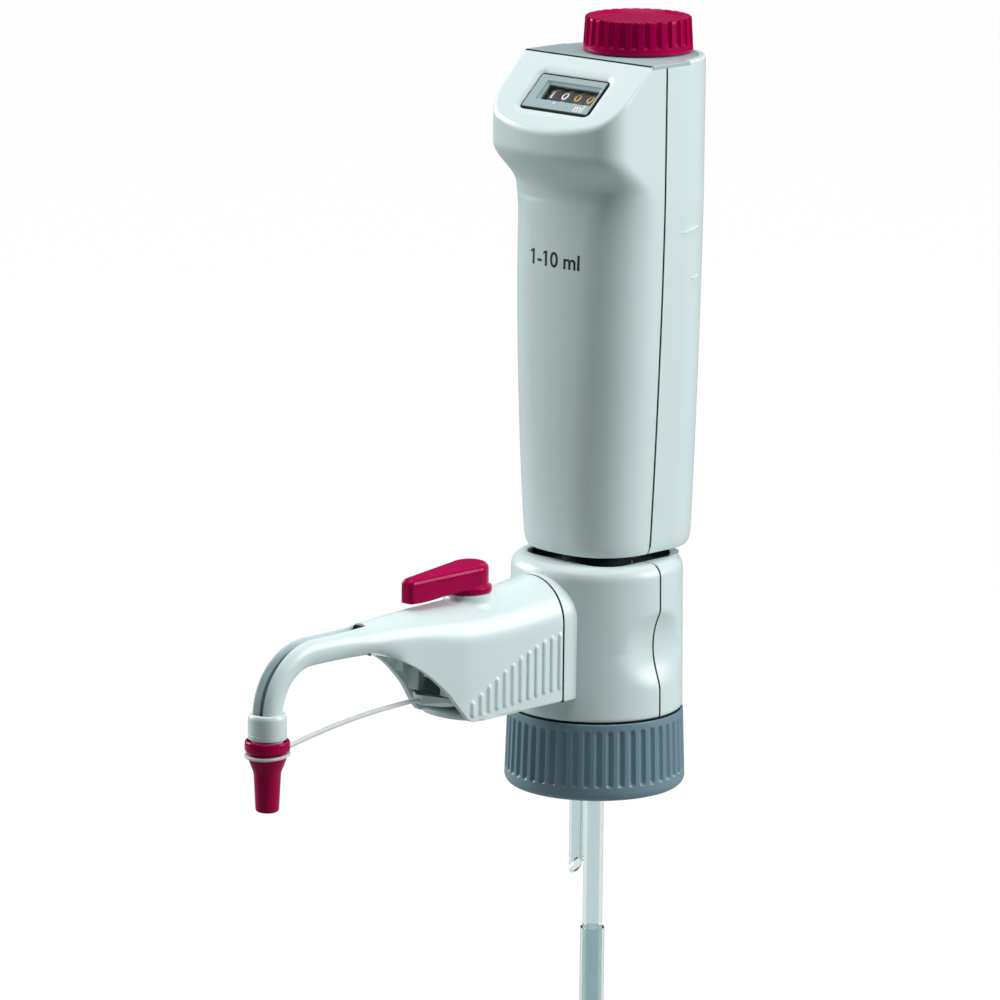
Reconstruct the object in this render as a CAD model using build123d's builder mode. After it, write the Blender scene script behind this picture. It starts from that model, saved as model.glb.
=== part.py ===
from build123d import *
from math import asin, atan, cos, degrees, pi, radians, sin, sqrt
import os

os.makedirs("parts", exist_ok=True)

# Bottle top dispenser, 1 to 10 ml, for GL45 bottles. Millimetres.
# Z runs up the axis of the bottle neck, and z = 0 is the lower rim of the threaded collar.
# The discharge arm points along -Y, which is the front.

# Dosing: the piston's bore follows from the largest dose and the lift that gives it.
dose_max = 10.0  # ml
stroke = 75.0
bore_r = sqrt(1000 * dose_max / (pi * stroke))

# Fits
run_gap = 0.05  # radial, shaft in bearing
seal_gap = 0.04  # radial, piston seal in glass
move_gap = 0.3  # between bodies that pass each other
shell_gap = 0.1  # each side of a joint line between shells

# Threaded collar
thread_r = 22.65
collar_top_r = 26.6
collar_low_r = 27.3
collar_h = 23.8
collar_round = 2.8
collar_flange_t = 3.8
groove_count = 48
collar_groove_w = 1.9
collar_groove_depth = 0.8
collar_groove_low = 4.2
collar_groove_top = 22.0
collar_edge = 0.4
lead_in = 0.6  # bevel at the mouth of the thread
neck_r = 14.9
gasket_t = 2.0
gasket_in_r = 12.5
gasket_gap = 0.35
lock_t = 2.3  # retaining ring
lock_w = 3.6
lock_gap = 0.5

# Valve block
block_h = 47.55
block_low_r = 26.4
block_r = 25.9
block_wall = 2.2
block_foot_round = 1.2
shoulder_r = 4.0
recess_w = 33.0
recess_front = -12.3
recess_rear = 19.6
recess_corner = 6.5
recess_depth = 5.7
dimple_up = 19.8  # centre, above the block's foot
dimple_r = 27.2  # thumb hollow: a cylinder across the side
dimple_depth = 2.55
vent_up = 23.8
vent_r = 4.0
vent_rim = 1.2
vent_head_t = 1.4

# Cylinder and its guide
glass_wall = 1.5
socket_depth = 8.0
tray_depth = 3.75
tray_t = 1.5
tray_wall = 1.4
tray_rise = 1.2  # above the block's top
guide_wall = 2.0
guide_gap = 0.4
window_w = 9.0
window_margin = 18.0  # guide left whole above and below its window
bracket_t = 6.0
bracket_w = 2.6  # ring round the guide
lug_w = 20.0
lug_depth = 13.0
lug_corner = 3.0

# Housing that slides on the guide
foot_gap = 1.75  # over the block's top
foot_round = 4.5
foot_insets = (1.3, 0.4)  # of the foot, and this much higher up
grip_h = 110.5
swell_h = 12.0  # where the grip bulges out into the head
head_h = 25.65
housing_wall = 2.2
grip_w = 21.4
head_w = 25.6
grip_front = -19.5
grip_bulge = 1.4
head_front = -28.1
front_flat_w = 4.4  # half-width of the bowed front between its corner arcs
front_flat_wider = 8.0  # in the head, beyond the head's own growth
front_turn = 9.0  # degrees that half the bow turns through
front_turn_more = 8.2
rear_flat_w = 1.4
rear_flat_wider = 1.2
rear_turn = 13.5
rear_turn_more = 8.3
rear_low = 30.5
rear_high = 31.7
cover_front = -6.3
cover_side_rear = 10.3
cover_t = 1.2
display_slope = 0.9
display_w = 27.2
display_h = 13.6
display_y = -14.4  # along the slope, from the cover's front edge
display_corner = 1.6
bezel_t = 1.6
bezel_down = 0.3  # below the sloping face
pane_t = 0.8
pane_lap = 0.8
digit_w = 20.5
digit_h = 5.9
digit_x = 1.5
digit_y = -14.0
wheel_pitch = 5.05
wheel_r = 5.8
wheel_depth = 9.0
wheel_space = 0.35
axle_r = 1.0
cheek_t = 1.2
cheek_depth = 7.0
base_t = 2.0
frame_t = 3.0
frame_down = 4.0  # head frame below the top of the grip
guide_down = 4.0  # guide sleeve's top below the frame
glass_down = 4.0  # glass below the guide sleeve's top

# Volume setting
knob_y = 15.2
knob_low_r = 16.5
knob_top_r = 15.4
knob_h = 10.35
flute_count = 28
flute_w = 1.8
flute_depth = 0.9
flute_low = 1.8
knob_edge = 1.2  # bevel round the top
knob_rim = 1.4
knob_dish = 2.2
hub_depth = 5.0
spindle_r = 3.0
spindle_collar_r = 4.6
spindle_collar_h = 4.0
carriage_h = 6.7
carriage_w = 16.0
carriage_depth = 9.2

# Discharge arm
arm_y = -28.0  # face of the flange that carries it
arm_w = 13.1
arm_up = 7.3  # arm's underside above the block's foot
arm_h = 37.0
arm_wall = 1.8
arm_floor_y = -62.0
mouth_start = 4.0  # beyond the floor's end
rib_count = 12
rib_pitch = 3.25
rib_w = 1.5
rib_h = 0.4
rib_first_y = -29.9
rib_foot = 4.2  # above the arm's underside, at the flange
rib_top = 21.4  # highest rib, above the arm's underside
rib_drop = 0.25  # each rib's foot below the one before
rim_y = -78.0  # a point halfway along the curved underside
rim_up = 14.1
rim_end_y = -99.5
channel_up = 20.5  # liquid channel above the arm's underside
valve_r = 6.0
valve_end = -64.0
valve_seat = 18.0
stem_r = 3.0
ball_r = 2.4
channel_r = 1.5
boss_r = 6.8
boss_depth = 8.0
lever_y = -56.0
lever_h = 9.0
lever_reach = 27.0
lever_base_r = 7.0
lever_base_h = 1.6
lever_socket = 3.0
lever_rear_r = 6.0
lever_tip_w = 2.6
lever_corner_r = 1.6
lever_edge_r = 1.5
lever_fall = 2.0  # from the rear to the tip, along the top
nozzle_y = -138.7
neck_down = 8.0  # neck's centre line below the arm's top
bend_r = 16.5
arm_neck_r = 4.35
groove_w = 4.0
groove_y = -101.0
tube_r = 1.7
tube_wall = 0.6
climb_angle = 40.0

# Nozzle, cap and tether
sleeve_r = 5.95
sleeve_h = 8.0
sleeve_shoulder = 2.4
spigot_r = 4.6
spigot_h = 5.1
tip_h = 9.5
cap_h = 21.1
cap_ring_r = 7.05
cap_body_r = 6.0
cap_end_r = 3.5
cap_flange_h = 3.6
cap_stem_h = 11.5
cap_cone_h = 4.7
cap_stem_taper = 0.5
cap_floor = 2.0
strap_t = 1.8
strap_bow = 1.5
holder_w = 6.0
eye_y = -77.0
eye_up = 8.0  # above the arm's underside
eye_half_t = 2.4
saddle_y = -68.0
saddle_up = 13.5

# Dip tubes
fill_r = 3.0
fill_end = -150.0
telescope_r = 3.7
telescope_top = -46.0
telescope_end = -166.0
return_r = 2.2
return_wall = 0.7
return_seat = 10.0
return_y = -7.6
return_end = -27.0

# Heights that follow
flange_z = collar_h - collar_flange_t
lock_z = flange_z - lock_gap - lock_t
gasket_z = lock_z - lock_gap - gasket_t
block_z = collar_h + move_gap + shell_gap
block_top = block_z + block_h
dimple_z = block_z + dimple_up
vent_z = block_z + vent_up
guide_z = block_top - tray_depth
glass_z = guide_z - socket_depth
housing_z = block_top + foot_gap
head_z = housing_z + grip_h
head_full_z = head_z + swell_h
housing_top = head_full_z + head_h
frame_z = head_z - frame_down
guide_top = frame_z - guide_down
glass_top = guide_top - glass_down
knob_z = housing_top + move_gap
knob_top = knob_z + knob_h
arm_z = block_z + arm_up
arm_top = arm_z + arm_h
channel_z = arm_z + channel_up
lever_z = arm_top - 0.5
neck_centre_z = arm_top - neck_down
bend_z = neck_centre_z - bend_r
sleeve_top = bend_z + 0.6
neck_end_z = sleeve_top - 3
sleeve_z = sleeve_top - sleeve_h
spigot_z = sleeve_z - spigot_h
tip_z = spigot_z - tip_h
cap_top = sleeve_z - move_gap
cap_z = cap_top - cap_h
eye_z = arm_z + eye_up
bracket_z = guide_top - bracket_t
carriage_top = bracket_z - stroke - move_gap
spindle_z = carriage_top - carriage_h - 4

# Other sizes that follow
glass_r = bore_r + glass_wall
guide_in_r = glass_r + guide_gap
guide_r = guide_in_r + guide_wall
tube_gap_r = tube_r + 0.3
slope = atan(display_slope)
on_base = (Align.CENTER, Align.CENTER, Align.MIN)
display_plane = Plane(
    origin=(0, cover_front, housing_top), x_dir=(1, 0, 0), z_dir=(0, -sin(slope), cos(slope))
)


def bend_point(radius):
    """(y, z) halfway round the neck's bend, at this distance from the bend's centre."""
    return (nozzle_y + bend_r - radius * sin(pi / 4), bend_z + radius * sin(pi / 4))


def save(piece, label):
    piece.part.label = label
    export_step(piece.part, f"parts/{label}.step")


def section_plane(y_axis_at):
    """XZ plane through the vertical axis at this y, for turned pieces."""
    return Plane(origin=(0, y_axis_at, 0), x_dir=(1, 0, 0), z_dir=(0, -1, 0))


def turned(label, profile, at_y=0.0):
    """A closed (radius, height) polygon revolved about the vertical axis at this y."""
    with BuildPart() as piece:
        with BuildSketch(section_plane(at_y)):
            with BuildLine():
                Polyline(*profile, close=True)
            make_face()
        revolve(axis=Axis((0, at_y, 0), (0, 0, 1)))
    save(piece, label)
    return piece


def pipe(label, outer, inner, low, high, at_y=0.0):
    """A plain ring or tube along Z."""
    return turned(label, [(inner, low), (outer, low), (outer, high), (inner, high)], at_y)


# Collar: the GL45 nut that holds everything on the bottle. Its inner flange carries the valve block.
with BuildPart() as thread_collar:
    with BuildSketch(Plane.XZ):
        with BuildLine():
            rim_in = collar_low_r - collar_round
            edge_in = collar_top_r - collar_edge
            bore_in = neck_r + run_gap
            Polyline((collar_low_r, collar_round), (collar_top_r, collar_h - collar_edge), (edge_in, collar_h))
            Polyline((edge_in, collar_h), (bore_in, collar_h), (bore_in, flange_z))
            Polyline((bore_in, flange_z), (thread_r, flange_z), (thread_r, lead_in))
            Polyline((thread_r, lead_in), (thread_r + lead_in, 0), (rim_in, 0))
            RadiusArc((rim_in, 0), (collar_low_r, collar_round), -collar_round)
        make_face()
    revolve(axis=Axis.Z)
    groove_run = collar_groove_top - collar_groove_low
    groove_floor = collar_top_r - collar_groove_depth
    with BuildPart(mode=Mode.PRIVATE) as groove_cutter:
        with BuildSketch(Plane.YZ.offset(groove_floor)):
            with Locations((0, collar_groove_low + groove_run / 2)):
                Rectangle(collar_groove_w, groove_run)
        extrude(amount=collar_low_r)
    with PolarLocations(0, groove_count):
        add(groove_cutter.part, mode=Mode.SUBTRACT)
save(thread_collar, "thread_collar")

# Gasket that seals on the bottle's rim
pipe("rim_gasket", thread_r - gasket_gap, gasket_in_r, gasket_z, gasket_z + gasket_t)

# Ring that locks the valve core under the collar's flange, so that the block turns but can't lift off
pipe("retaining_ring", neck_r + lock_w, neck_r, lock_z, lock_z + lock_t)

# Valve core: hub, glass socket and the channels between the valves
core_z = lock_z
core_r = 14.0
socket_r = 10.8
hub_r = neck_r + 3.0
hub_top = block_z + 4.0
inlet_r = 5.0
barrel_y = glass_r + 1.5  # bore for the discharge valve starts here
inlet_top = core_z + 16.7
seat_r = 1.0
with BuildPart() as valve_core:
    with BuildSketch(Plane.XZ):
        with BuildLine():
            Polyline(
                (0, core_z),
                (neck_r, core_z),
                (neck_r, collar_h + move_gap),
                (hub_r, collar_h + move_gap),
                (hub_r, hub_top),
                (core_r, hub_top),
                (core_r, glass_z - 1),
                (socket_r, glass_z - 1),
                (socket_r, guide_z),
                (0, guide_z),
                close=True,
            )
        make_face()
    revolve(axis=Axis.Z)
    with Locations((0, 0, glass_z)):
        Cylinder(glass_r + run_gap, guide_z, align=on_base, mode=Mode.SUBTRACT)
    with Locations((0, 0, core_z)):
        Cylinder(inlet_r + run_gap, inlet_top - core_z, align=on_base, mode=Mode.SUBTRACT)
        Cylinder(channel_r, glass_z - core_z, align=on_base, mode=Mode.SUBTRACT)
    with Locations((0, return_y, core_z)):
        Cylinder(return_r + run_gap, return_seat + 2, align=on_base, mode=Mode.SUBTRACT)
    with BuildSketch(Plane.XZ.offset(barrel_y)):
        with Locations((0, channel_z)):
            Circle(valve_r + run_gap)
    extrude(amount=core_r, mode=Mode.SUBTRACT)
    with BuildSketch(Plane.XZ):
        with Locations((0, channel_z)):
            Circle(channel_r)
    extrude(amount=core_r, mode=Mode.SUBTRACT)
save(valve_core, "valve_core")

# Inlet valve: a screwed body with a ball on its seat, and a nipple that the dip tube is pushed on
nipple_z = -6.0
nipple_r = fill_r - 1.0
seat_z = inlet_top - 14.0
nipple_top = 6.0
chamber_r = 3.2
turned(
    "inlet_valve",
    [
        (seat_r, nipple_z),
        (nipple_r, nipple_z),
        (nipple_r, nipple_top),
        (inlet_r, nipple_top + 2),
        (inlet_r, inlet_top - 1),
        (chamber_r, inlet_top - 1),
        (chamber_r, seat_z + chamber_r - seat_r),
        (seat_r, seat_z),
    ],
)
ball_z = seat_z - seat_r + (ball_r + run_gap) * sqrt(2)
with BuildPart() as inlet_ball:
    with Locations((0, 0, ball_z)):
        Sphere(ball_r)
save(inlet_ball, "inlet_ball")

# Dip tubes. The lower one slides on the upper one to suit the bottle's height.
pipe("filling_tube_upper", fill_r, nipple_r, fill_end, nipple_top - 0.2)
with BuildPart() as filling_tube_lower:
    with BuildSketch(Plane.XY.offset(telescope_end)):
        Circle(telescope_r)
        Circle(fill_r + run_gap, mode=Mode.SUBTRACT)
    extrude(amount=telescope_top - telescope_end)
    bevel = Plane(origin=(0, 0, telescope_end + telescope_r), x_dir=(1, 0, 0), z_dir=(0, -1, 1))
    split(bisect_by=bevel, keep=Keep.TOP)
save(filling_tube_lower, "filling_tube_lower")
with BuildPart() as recirculation_tube:
    with BuildSketch(Plane.XY.offset(return_end)):
        with Locations((0, return_y)):
            Circle(return_r)
            Circle(return_r - return_wall, mode=Mode.SUBTRACT)
    extrude(amount=core_z + return_seat - return_end)
    bevel = Plane(origin=(0, return_y, return_end + return_r), x_dir=(1, 0, 0), z_dir=(0, -1, 1))
    split(bisect_by=bevel, keep=Keep.TOP)
save(recirculation_tube, "recirculation_tube")


# Valve block: two shells that meet on the y = 0 plane
def arch(width, top, bottom):
    """Half-round top on straight sides, as a closed line."""
    with BuildLine() as edge:
        Line((-width, bottom), (width, bottom))
        Line((width, bottom), (width, top - width))
        CenterArc((0, top - width), width, 0, 180)
        Line((-width, top - width), (-width, bottom))
    return edge.line


arch_start = block_r - 6  # inside the block's wall
pad_edge = 3.0  # bevel round the hollow's backing
with BuildPart() as block_body:
    with BuildSketch(Plane.XZ):
        with BuildLine():
            foot_in = block_low_r - block_foot_round
            foot_up = block_z + block_foot_round
            Line((0, block_z), (foot_in, block_z))
            RadiusArc((foot_in, block_z), (block_low_r, foot_up), -block_foot_round)
            Line((block_low_r, foot_up), (block_r, block_top - shoulder_r))
            RadiusArc((block_r, block_top - shoulder_r), (block_r - shoulder_r, block_top), -shoulder_r)
            Line((block_r - shoulder_r, block_top), (0, block_top))
            Line((0, block_top), (0, block_z))
        make_face()
    revolve(axis=Axis.Z)
    with BuildSketch(Plane.XZ.offset(arch_start)):
        add(arch(arm_w, arm_top, arm_z))
        make_face()
    extrude(amount=-arm_y - arch_start)
    with BuildSketch(Plane.XZ):
        inner_r = block_r - block_wall
        with BuildLine():
            Polyline(
                (0, block_z + block_wall),
                (inner_r, block_z + block_wall),
                (inner_r, block_top - shoulder_r),
                (inner_r - shoulder_r, block_top - block_wall),
                (0, block_top - block_wall),
                close=True,
            )
        make_face()
    revolve(axis=Axis.Z, mode=Mode.SUBTRACT)
    with BuildSketch(Plane.XZ):
        with BuildLine():
            pad_x = block_r - block_wall - dimple_depth
            pad_z = sqrt(dimple_r**2 - (dimple_r - dimple_depth) ** 2) + 1
            Polyline(
                (pad_x, dimple_z - pad_z + pad_edge), (pad_x, dimple_z + pad_z - pad_edge),
                (inner_r + 0.5, dimple_z + pad_z),
                (inner_r + 0.5, dimple_z - pad_z), close=True,
            )
        make_face()
        mirror(about=Plane.YZ)
    hollow_pads = extrude(amount=sqrt(inner_r**2 - pad_x**2), both=True, mode=Mode.PRIVATE)
    add(hollow_pads)
    with BuildSketch(Plane.XY.offset(block_top)):
        with Locations((0, (recess_front + recess_rear) / 2)):
            RectangleRounded(recess_w, recess_rear - recess_front, recess_corner)
    extrude(amount=-recess_depth, mode=Mode.SUBTRACT)
    with BuildSketch(Plane.XY.offset(block_z)):
        Circle(hub_r + shell_gap)
    extrude(amount=block_wall + 1, mode=Mode.SUBTRACT)
    with BuildSketch(Plane.XZ):
        with Locations((0, channel_z)):
            Circle(valve_r + 2 * run_gap)
    extrude(amount=-arm_y + 1, mode=Mode.SUBTRACT)
    with BuildSketch(Plane.XZ):
        with Locations(
            (block_r + dimple_r - dimple_depth, dimple_z), (-block_r - dimple_r + dimple_depth, dimple_z)
        ):
            Circle(dimple_r)
    extrude(amount=block_r, both=True, mode=Mode.SUBTRACT)

front_side = Plane.XZ.offset(shell_gap)
rear_side = Plane.XZ.offset(-shell_gap)
with BuildPart() as valve_block_front:
    add(block_body.part)
    split(bisect_by=front_side, keep=Keep.TOP)
save(valve_block_front, "valve_block_front")
with BuildPart() as valve_block_rear:
    add(block_body.part)
    split(bisect_by=rear_side, keep=Keep.BOTTOM)
    with BuildSketch(Plane.XZ.offset(-block_r - 2)):
        with Locations((0, vent_z)):
            Circle(vent_r + shell_gap)
    extrude(amount=8, mode=Mode.SUBTRACT)
save(valve_block_rear, "valve_block_rear")

# Vent plug in the back of the block
vent_face = block_r + 0.4
with BuildPart() as vent_plug:
    with BuildSketch(Plane.XZ.offset(-core_r)):
        with Locations((0, vent_z)):
            Circle(vent_r)
    extrude(amount=-(vent_face - core_r))
    with BuildSketch(Plane.XZ.offset(-vent_face)):
        with Locations((0, vent_z)):
            Circle(vent_r + vent_rim)
    extrude(amount=-vent_head_t)
save(vent_plug, "vent_plug")

# Dark tray in the top of the block, round the foot of the guide
with BuildPart() as recess_tray:
    with BuildSketch(Plane.XY.offset(guide_z - tray_t)):
        with Locations((0, (recess_front + recess_rear) / 2)):
            tray_long = recess_rear - recess_front - 2 * shell_gap
            RectangleRounded(recess_w - 2 * shell_gap, tray_long, recess_corner - shell_gap)
    extrude(amount=block_top - guide_z + tray_rise)
    offset(amount=-tray_wall, openings=recess_tray.faces().sort_by(Axis.Z)[-1])
    with Locations((0, 0, guide_z)):
        Cylinder(socket_r + shell_gap, 8, mode=Mode.SUBTRACT)
save(recess_tray, "recess_tray")

# Glass cylinder, its guide sleeve and the bracket that limits the lift
pipe("glass_cylinder", glass_r, bore_r, glass_z, glass_top)
with BuildPart() as guide_sleeve:
    with BuildSketch(Plane.XY.offset(guide_z)):
        Circle(guide_r)
        Circle(guide_in_r, mode=Mode.SUBTRACT)
    extrude(amount=guide_top - guide_z)
    with BuildSketch(Plane.XZ):
        with Locations((0, (guide_z + guide_top) / 2)):
            SlotOverall(guide_top - guide_z - 2 * window_margin, window_w, rotation=90)
    extrude(amount=guide_r + 1, mode=Mode.SUBTRACT)
save(guide_sleeve, "guide_sleeve")
with BuildPart() as stop_bracket:
    with BuildSketch(Plane.XY.offset(bracket_z)):
        Circle(guide_r + bracket_w)
        with Locations((0, knob_y - 1)):
            RectangleRounded(lug_w, lug_depth, lug_corner)
        Circle(guide_r, mode=Mode.SUBTRACT)
        with Locations((0, knob_y)):
            Circle(spindle_r + 2 * move_gap, mode=Mode.SUBTRACT)
    extrude(amount=bracket_t)
save(stop_bracket, "stop_bracket")

# Plunger: seal, piston, rod and the nut that hangs it from the head frame
seal_lip = 0.8
piston_gap = 0.25
rod_end = 7.0  # above the frame
nut_r = 4.6
nut_h = 4.0
rest_gap = 0.6
seal_h = 4.0
piston_h = 16.0
turned(
    "piston_seal",
    [
        (0, glass_z + rest_gap),
        (bore_r - seal_gap - 0.5 * seal_lip, glass_z + rest_gap),
        (bore_r - seal_gap, glass_z + rest_gap + seal_lip),
        (bore_r - seal_gap, glass_z + rest_gap + seal_h),
        (0, glass_z + rest_gap + seal_h),
    ],
)
rod_r = 3.0
piston_r = bore_r - piston_gap
piston_z = glass_z + rest_gap + seal_h
turned(
    "piston",
    [(0, piston_z), (piston_r, piston_z), (piston_r, piston_z + piston_h), (0, piston_z + piston_h)],
)
pipe("piston_rod", rod_r, 0, piston_z + piston_h, frame_z + frame_t + rod_end)
with BuildPart() as rod_nut:
    with BuildSketch(Plane.XY.offset(frame_z + frame_t)):
        RegularPolygon(nut_r, 6)
        Circle(rod_r, mode=Mode.SUBTRACT)
    extrude(amount=nut_h)
save(rod_nut, "rod_nut")


# Housing outline: a bowed front and a rounder back joined by corner arcs and straight sides, all tangent
def grown(z):
    """How far the grip has widened into the head at this height, 0 to 1."""
    share = min(max((z - housing_z) / (head_z - housing_z), 0), 1)
    return 1 - (1 - share) ** 1.5


def step(low, high, z):
    """Smooth 0 to 1 between two heights."""
    share = min(max((z - low) / (high - low), 0), 1)
    return share * share * (3 - 2 * share)


def outline(z, inset=0.0):
    width = grip_w + (head_w - grip_w) * grown(z) - inset
    along = min(max((z - housing_z) / (head_z - 4 - housing_z), 0), 1)
    bulge = grip_bulge * max(sin(pi * along), 0) ** 0.6
    front = grip_front - bulge + (head_front - grip_front) * step(head_z - 1, head_full_z, z) + inset
    rear = rear_low + (rear_high - rear_low) * grown(z) - inset
    squared = step(head_z - 12, head_full_z, z)
    front_flat = front_flat_w + front_flat_wider * squared + (head_w - grip_w) * grown(z)
    f = front_turn + front_turn_more * squared
    front_corner = width - front_flat
    front_bow = front_corner + front_flat / sin(radians(f))
    corner_f = front + front_bow - (front_bow - front_corner) * cos(radians(f))
    rear_flat = rear_flat_w + rear_flat_wider * grown(z)
    r = rear_turn + rear_turn_more * grown(z)
    rear_corner = width - rear_flat
    rear_bow = rear_corner + rear_flat / sin(radians(r))
    corner_r = rear - rear_bow + (rear_bow - rear_corner) * cos(radians(r))
    with BuildLine() as edge:
        CenterArc((0, front + front_bow), front_bow, 270 - f, 2 * f)
        CenterArc((width - front_corner, corner_f), front_corner, 270 + f, 90 - f)
        Line((width, corner_f), (width, corner_r))
        CenterArc((width - rear_corner, corner_r), rear_corner, 0, 90 - r)
        CenterArc((0, rear - rear_bow), rear_bow, 90 - r, 2 * r)
        CenterArc((rear_corner - width, corner_r), rear_corner, 90 + r, 90 - r)
        Line((-width, corner_r), (-width, corner_f))
        CenterArc((front_corner - width, corner_f), front_corner, 180, 90 - f)
    return edge.line


grip_levels = [housing_z + foot_round + (grip_h - foot_round - 2) * index / 5 for index in range(6)]
head_levels = [head_z + 1, head_z + 4, head_z + 7, head_z + 10, head_full_z + 2, housing_top]
with BuildPart() as housing_solid:
    for level, inset in zip((housing_z, housing_z + foot_insets[0]), foot_insets):
        with BuildSketch(Plane.XY.offset(level)):
            add(outline(level, inset))
            make_face()
    for level in grip_levels + head_levels:
        with BuildSketch(Plane.XY.offset(level)):
            add(outline(level))
            make_face()
    loft(ruled=True)
    split(bisect_by=display_plane, keep=Keep.BOTTOM)

with BuildPart() as housing_hollow:
    for level in [housing_z] + grip_levels + head_levels:
        with BuildSketch(Plane.XY.offset(level)):
            add(outline(level, housing_wall))
            make_face()
    loft(ruled=True)
    split(bisect_by=display_plane.offset(-housing_wall), keep=Keep.BOTTOM)

with BuildPart() as housing_body:
    add(housing_solid.part)
    add(housing_hollow.part, mode=Mode.SUBTRACT)
    with BuildSketch(Plane.XY.offset(housing_top)):
        with Locations((0, (cover_front + cover_side_rear) / 2)):
            Rectangle(80, cover_side_rear - cover_front)
    extrude(amount=-cover_t, mode=Mode.SUBTRACT)
    with BuildSketch(display_plane):
        with Locations((0, display_y)):
            RectangleRounded(display_w, display_h, display_corner)
    extrude(amount=-housing_wall - 1, mode=Mode.SUBTRACT)

with BuildPart() as housing_front:
    add(housing_body.part)
    split(bisect_by=front_side, keep=Keep.TOP)
save(housing_front, "housing_front")
with BuildPart() as housing_rear:
    add(housing_body.part)
    split(bisect_by=rear_side, keep=Keep.BOTTOM)
save(housing_rear, "housing_rear")

# Top cover: full width at the sides, let into the rear shell at the back
with BuildPart() as top_cover:
    with BuildSketch(Plane.XY.offset(housing_top - cover_t)) as cover_sketch:
        add(outline(housing_top))
        make_face()
        with Locations((0, cover_front + shell_gap)):
            Rectangle(80, 80, align=(Align.CENTER, Align.MIN), mode=Mode.INTERSECT)
        with Locations((0, cover_side_rear - shell_gap)):
            Rectangle(80, 80, align=(Align.CENTER, Align.MIN), mode=Mode.SUBTRACT)
    extrude(amount=cover_t)
    with BuildSketch(Plane.XY.offset(housing_top - cover_t)):
        add(outline(housing_top, housing_wall + shell_gap))
        make_face()
        with Locations((0, cover_side_rear - 2)):
            Rectangle(80, 80, align=(Align.CENTER, Align.MIN), mode=Mode.INTERSECT)
    extrude(amount=cover_t)
    with BuildSketch(Plane.XY.offset(housing_top)):
        with Locations((0, knob_y)):
            Circle(spindle_r + 2 * move_gap)
    extrude(amount=-cover_t, mode=Mode.SUBTRACT)
save(top_cover, "top_cover")

# Lower guide plate: closes the housing's foot and slides on the guide sleeve
plate_t = 3.0
plate_up = 2.5
with BuildPart() as lower_guide:
    with BuildSketch(Plane.XY.offset(housing_z + plate_up)):
        add(outline(housing_z + plate_up, housing_wall + shell_gap))
        make_face()
        Circle(guide_r + run_gap, mode=Mode.SUBTRACT)
    extrude(amount=plate_t)
save(lower_guide, "lower_guide")

# Head frame: carries the piston rod, the spindle and the counter
with BuildPart() as head_frame:
    with BuildSketch(Plane.XY.offset(frame_z)):
        add(outline(frame_z, housing_wall + move_gap))
        make_face()
        Circle(rod_r, mode=Mode.SUBTRACT)
        with Locations((0, knob_y)):
            Circle(spindle_r + run_gap, mode=Mode.SUBTRACT)
    extrude(amount=frame_t)
save(head_frame, "head_frame")

# Counter: four number wheels on one axle behind the display
wheel_w = wheel_pitch - wheel_space
wheel_first = digit_x - 1.5 * wheel_pitch
axle_plane = display_plane.offset(-wheel_depth)
axle_at = axle_plane.from_local_coords(Vector(0, digit_y, 0))
cheek_in = 2 * wheel_pitch + move_gap
base_z = frame_z + frame_t
cheek_top = axle_at.Z + 3 * axle_r


def across(x):
    """Plane square to the wheel axle at this x, with its origin on the axle."""
    return Plane(origin=(x, axle_at.Y, axle_at.Z), x_dir=(0, 1, 0), z_dir=(1, 0, 0))


for index in range(4):
    with BuildPart() as digit_wheel:
        with BuildSketch(across(wheel_first + index * wheel_pitch - wheel_w / 2)):
            Circle(wheel_r)
            Circle(axle_r + run_gap, mode=Mode.SUBTRACT)
        extrude(amount=wheel_w)
    save(digit_wheel, f"digit_wheel_{index + 1}")
with BuildPart() as counter_axle:
    with BuildSketch(across(digit_x - cheek_in - cheek_t)):
        Circle(axle_r)
    extrude(amount=2 * (cheek_in + cheek_t))
save(counter_axle, "counter_axle")
with BuildPart() as counter_frame:
    with BuildSketch(Plane.XY.offset(base_z)):
        with Locations((digit_x, axle_at.Y)):
            Rectangle(2 * (cheek_in + cheek_t), cheek_depth)
    extrude(amount=base_t)
    for side in (-1, 1):
        with BuildSketch(Plane.YZ.offset(digit_x + side * (cheek_in + cheek_t / 2) - cheek_t / 2)):
            with Locations((axle_at.Y, (base_z + cheek_top) / 2)):
                Rectangle(cheek_depth, cheek_top - base_z)
            with Locations((axle_at.Y, axle_at.Z)):
                Circle(axle_r, mode=Mode.SUBTRACT)
        extrude(amount=cheek_t)
save(counter_frame, "counter_frame")

# Display: grey frame let into the sloping face, with a clear window under its aperture
with BuildPart() as display_frame:
    with BuildSketch(display_plane.offset(-bezel_down - bezel_t)):
        with Locations((0, display_y)):
            RectangleRounded(display_w - 2 * shell_gap, display_h - 2 * shell_gap, display_corner - shell_gap)
        with Locations((digit_x, digit_y)):
            Rectangle(digit_w, digit_h, mode=Mode.SUBTRACT)
    extrude(amount=bezel_t)
save(display_frame, "display_frame")
with BuildPart() as display_window:
    with BuildSketch(display_plane.offset(-bezel_down - bezel_t - pane_t)):
        with Locations((digit_x, digit_y)):
            Rectangle(digit_w + 2 * pane_lap, digit_h + 2 * pane_lap)
    extrude(amount=pane_t)
save(display_window, "display_window")

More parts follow.
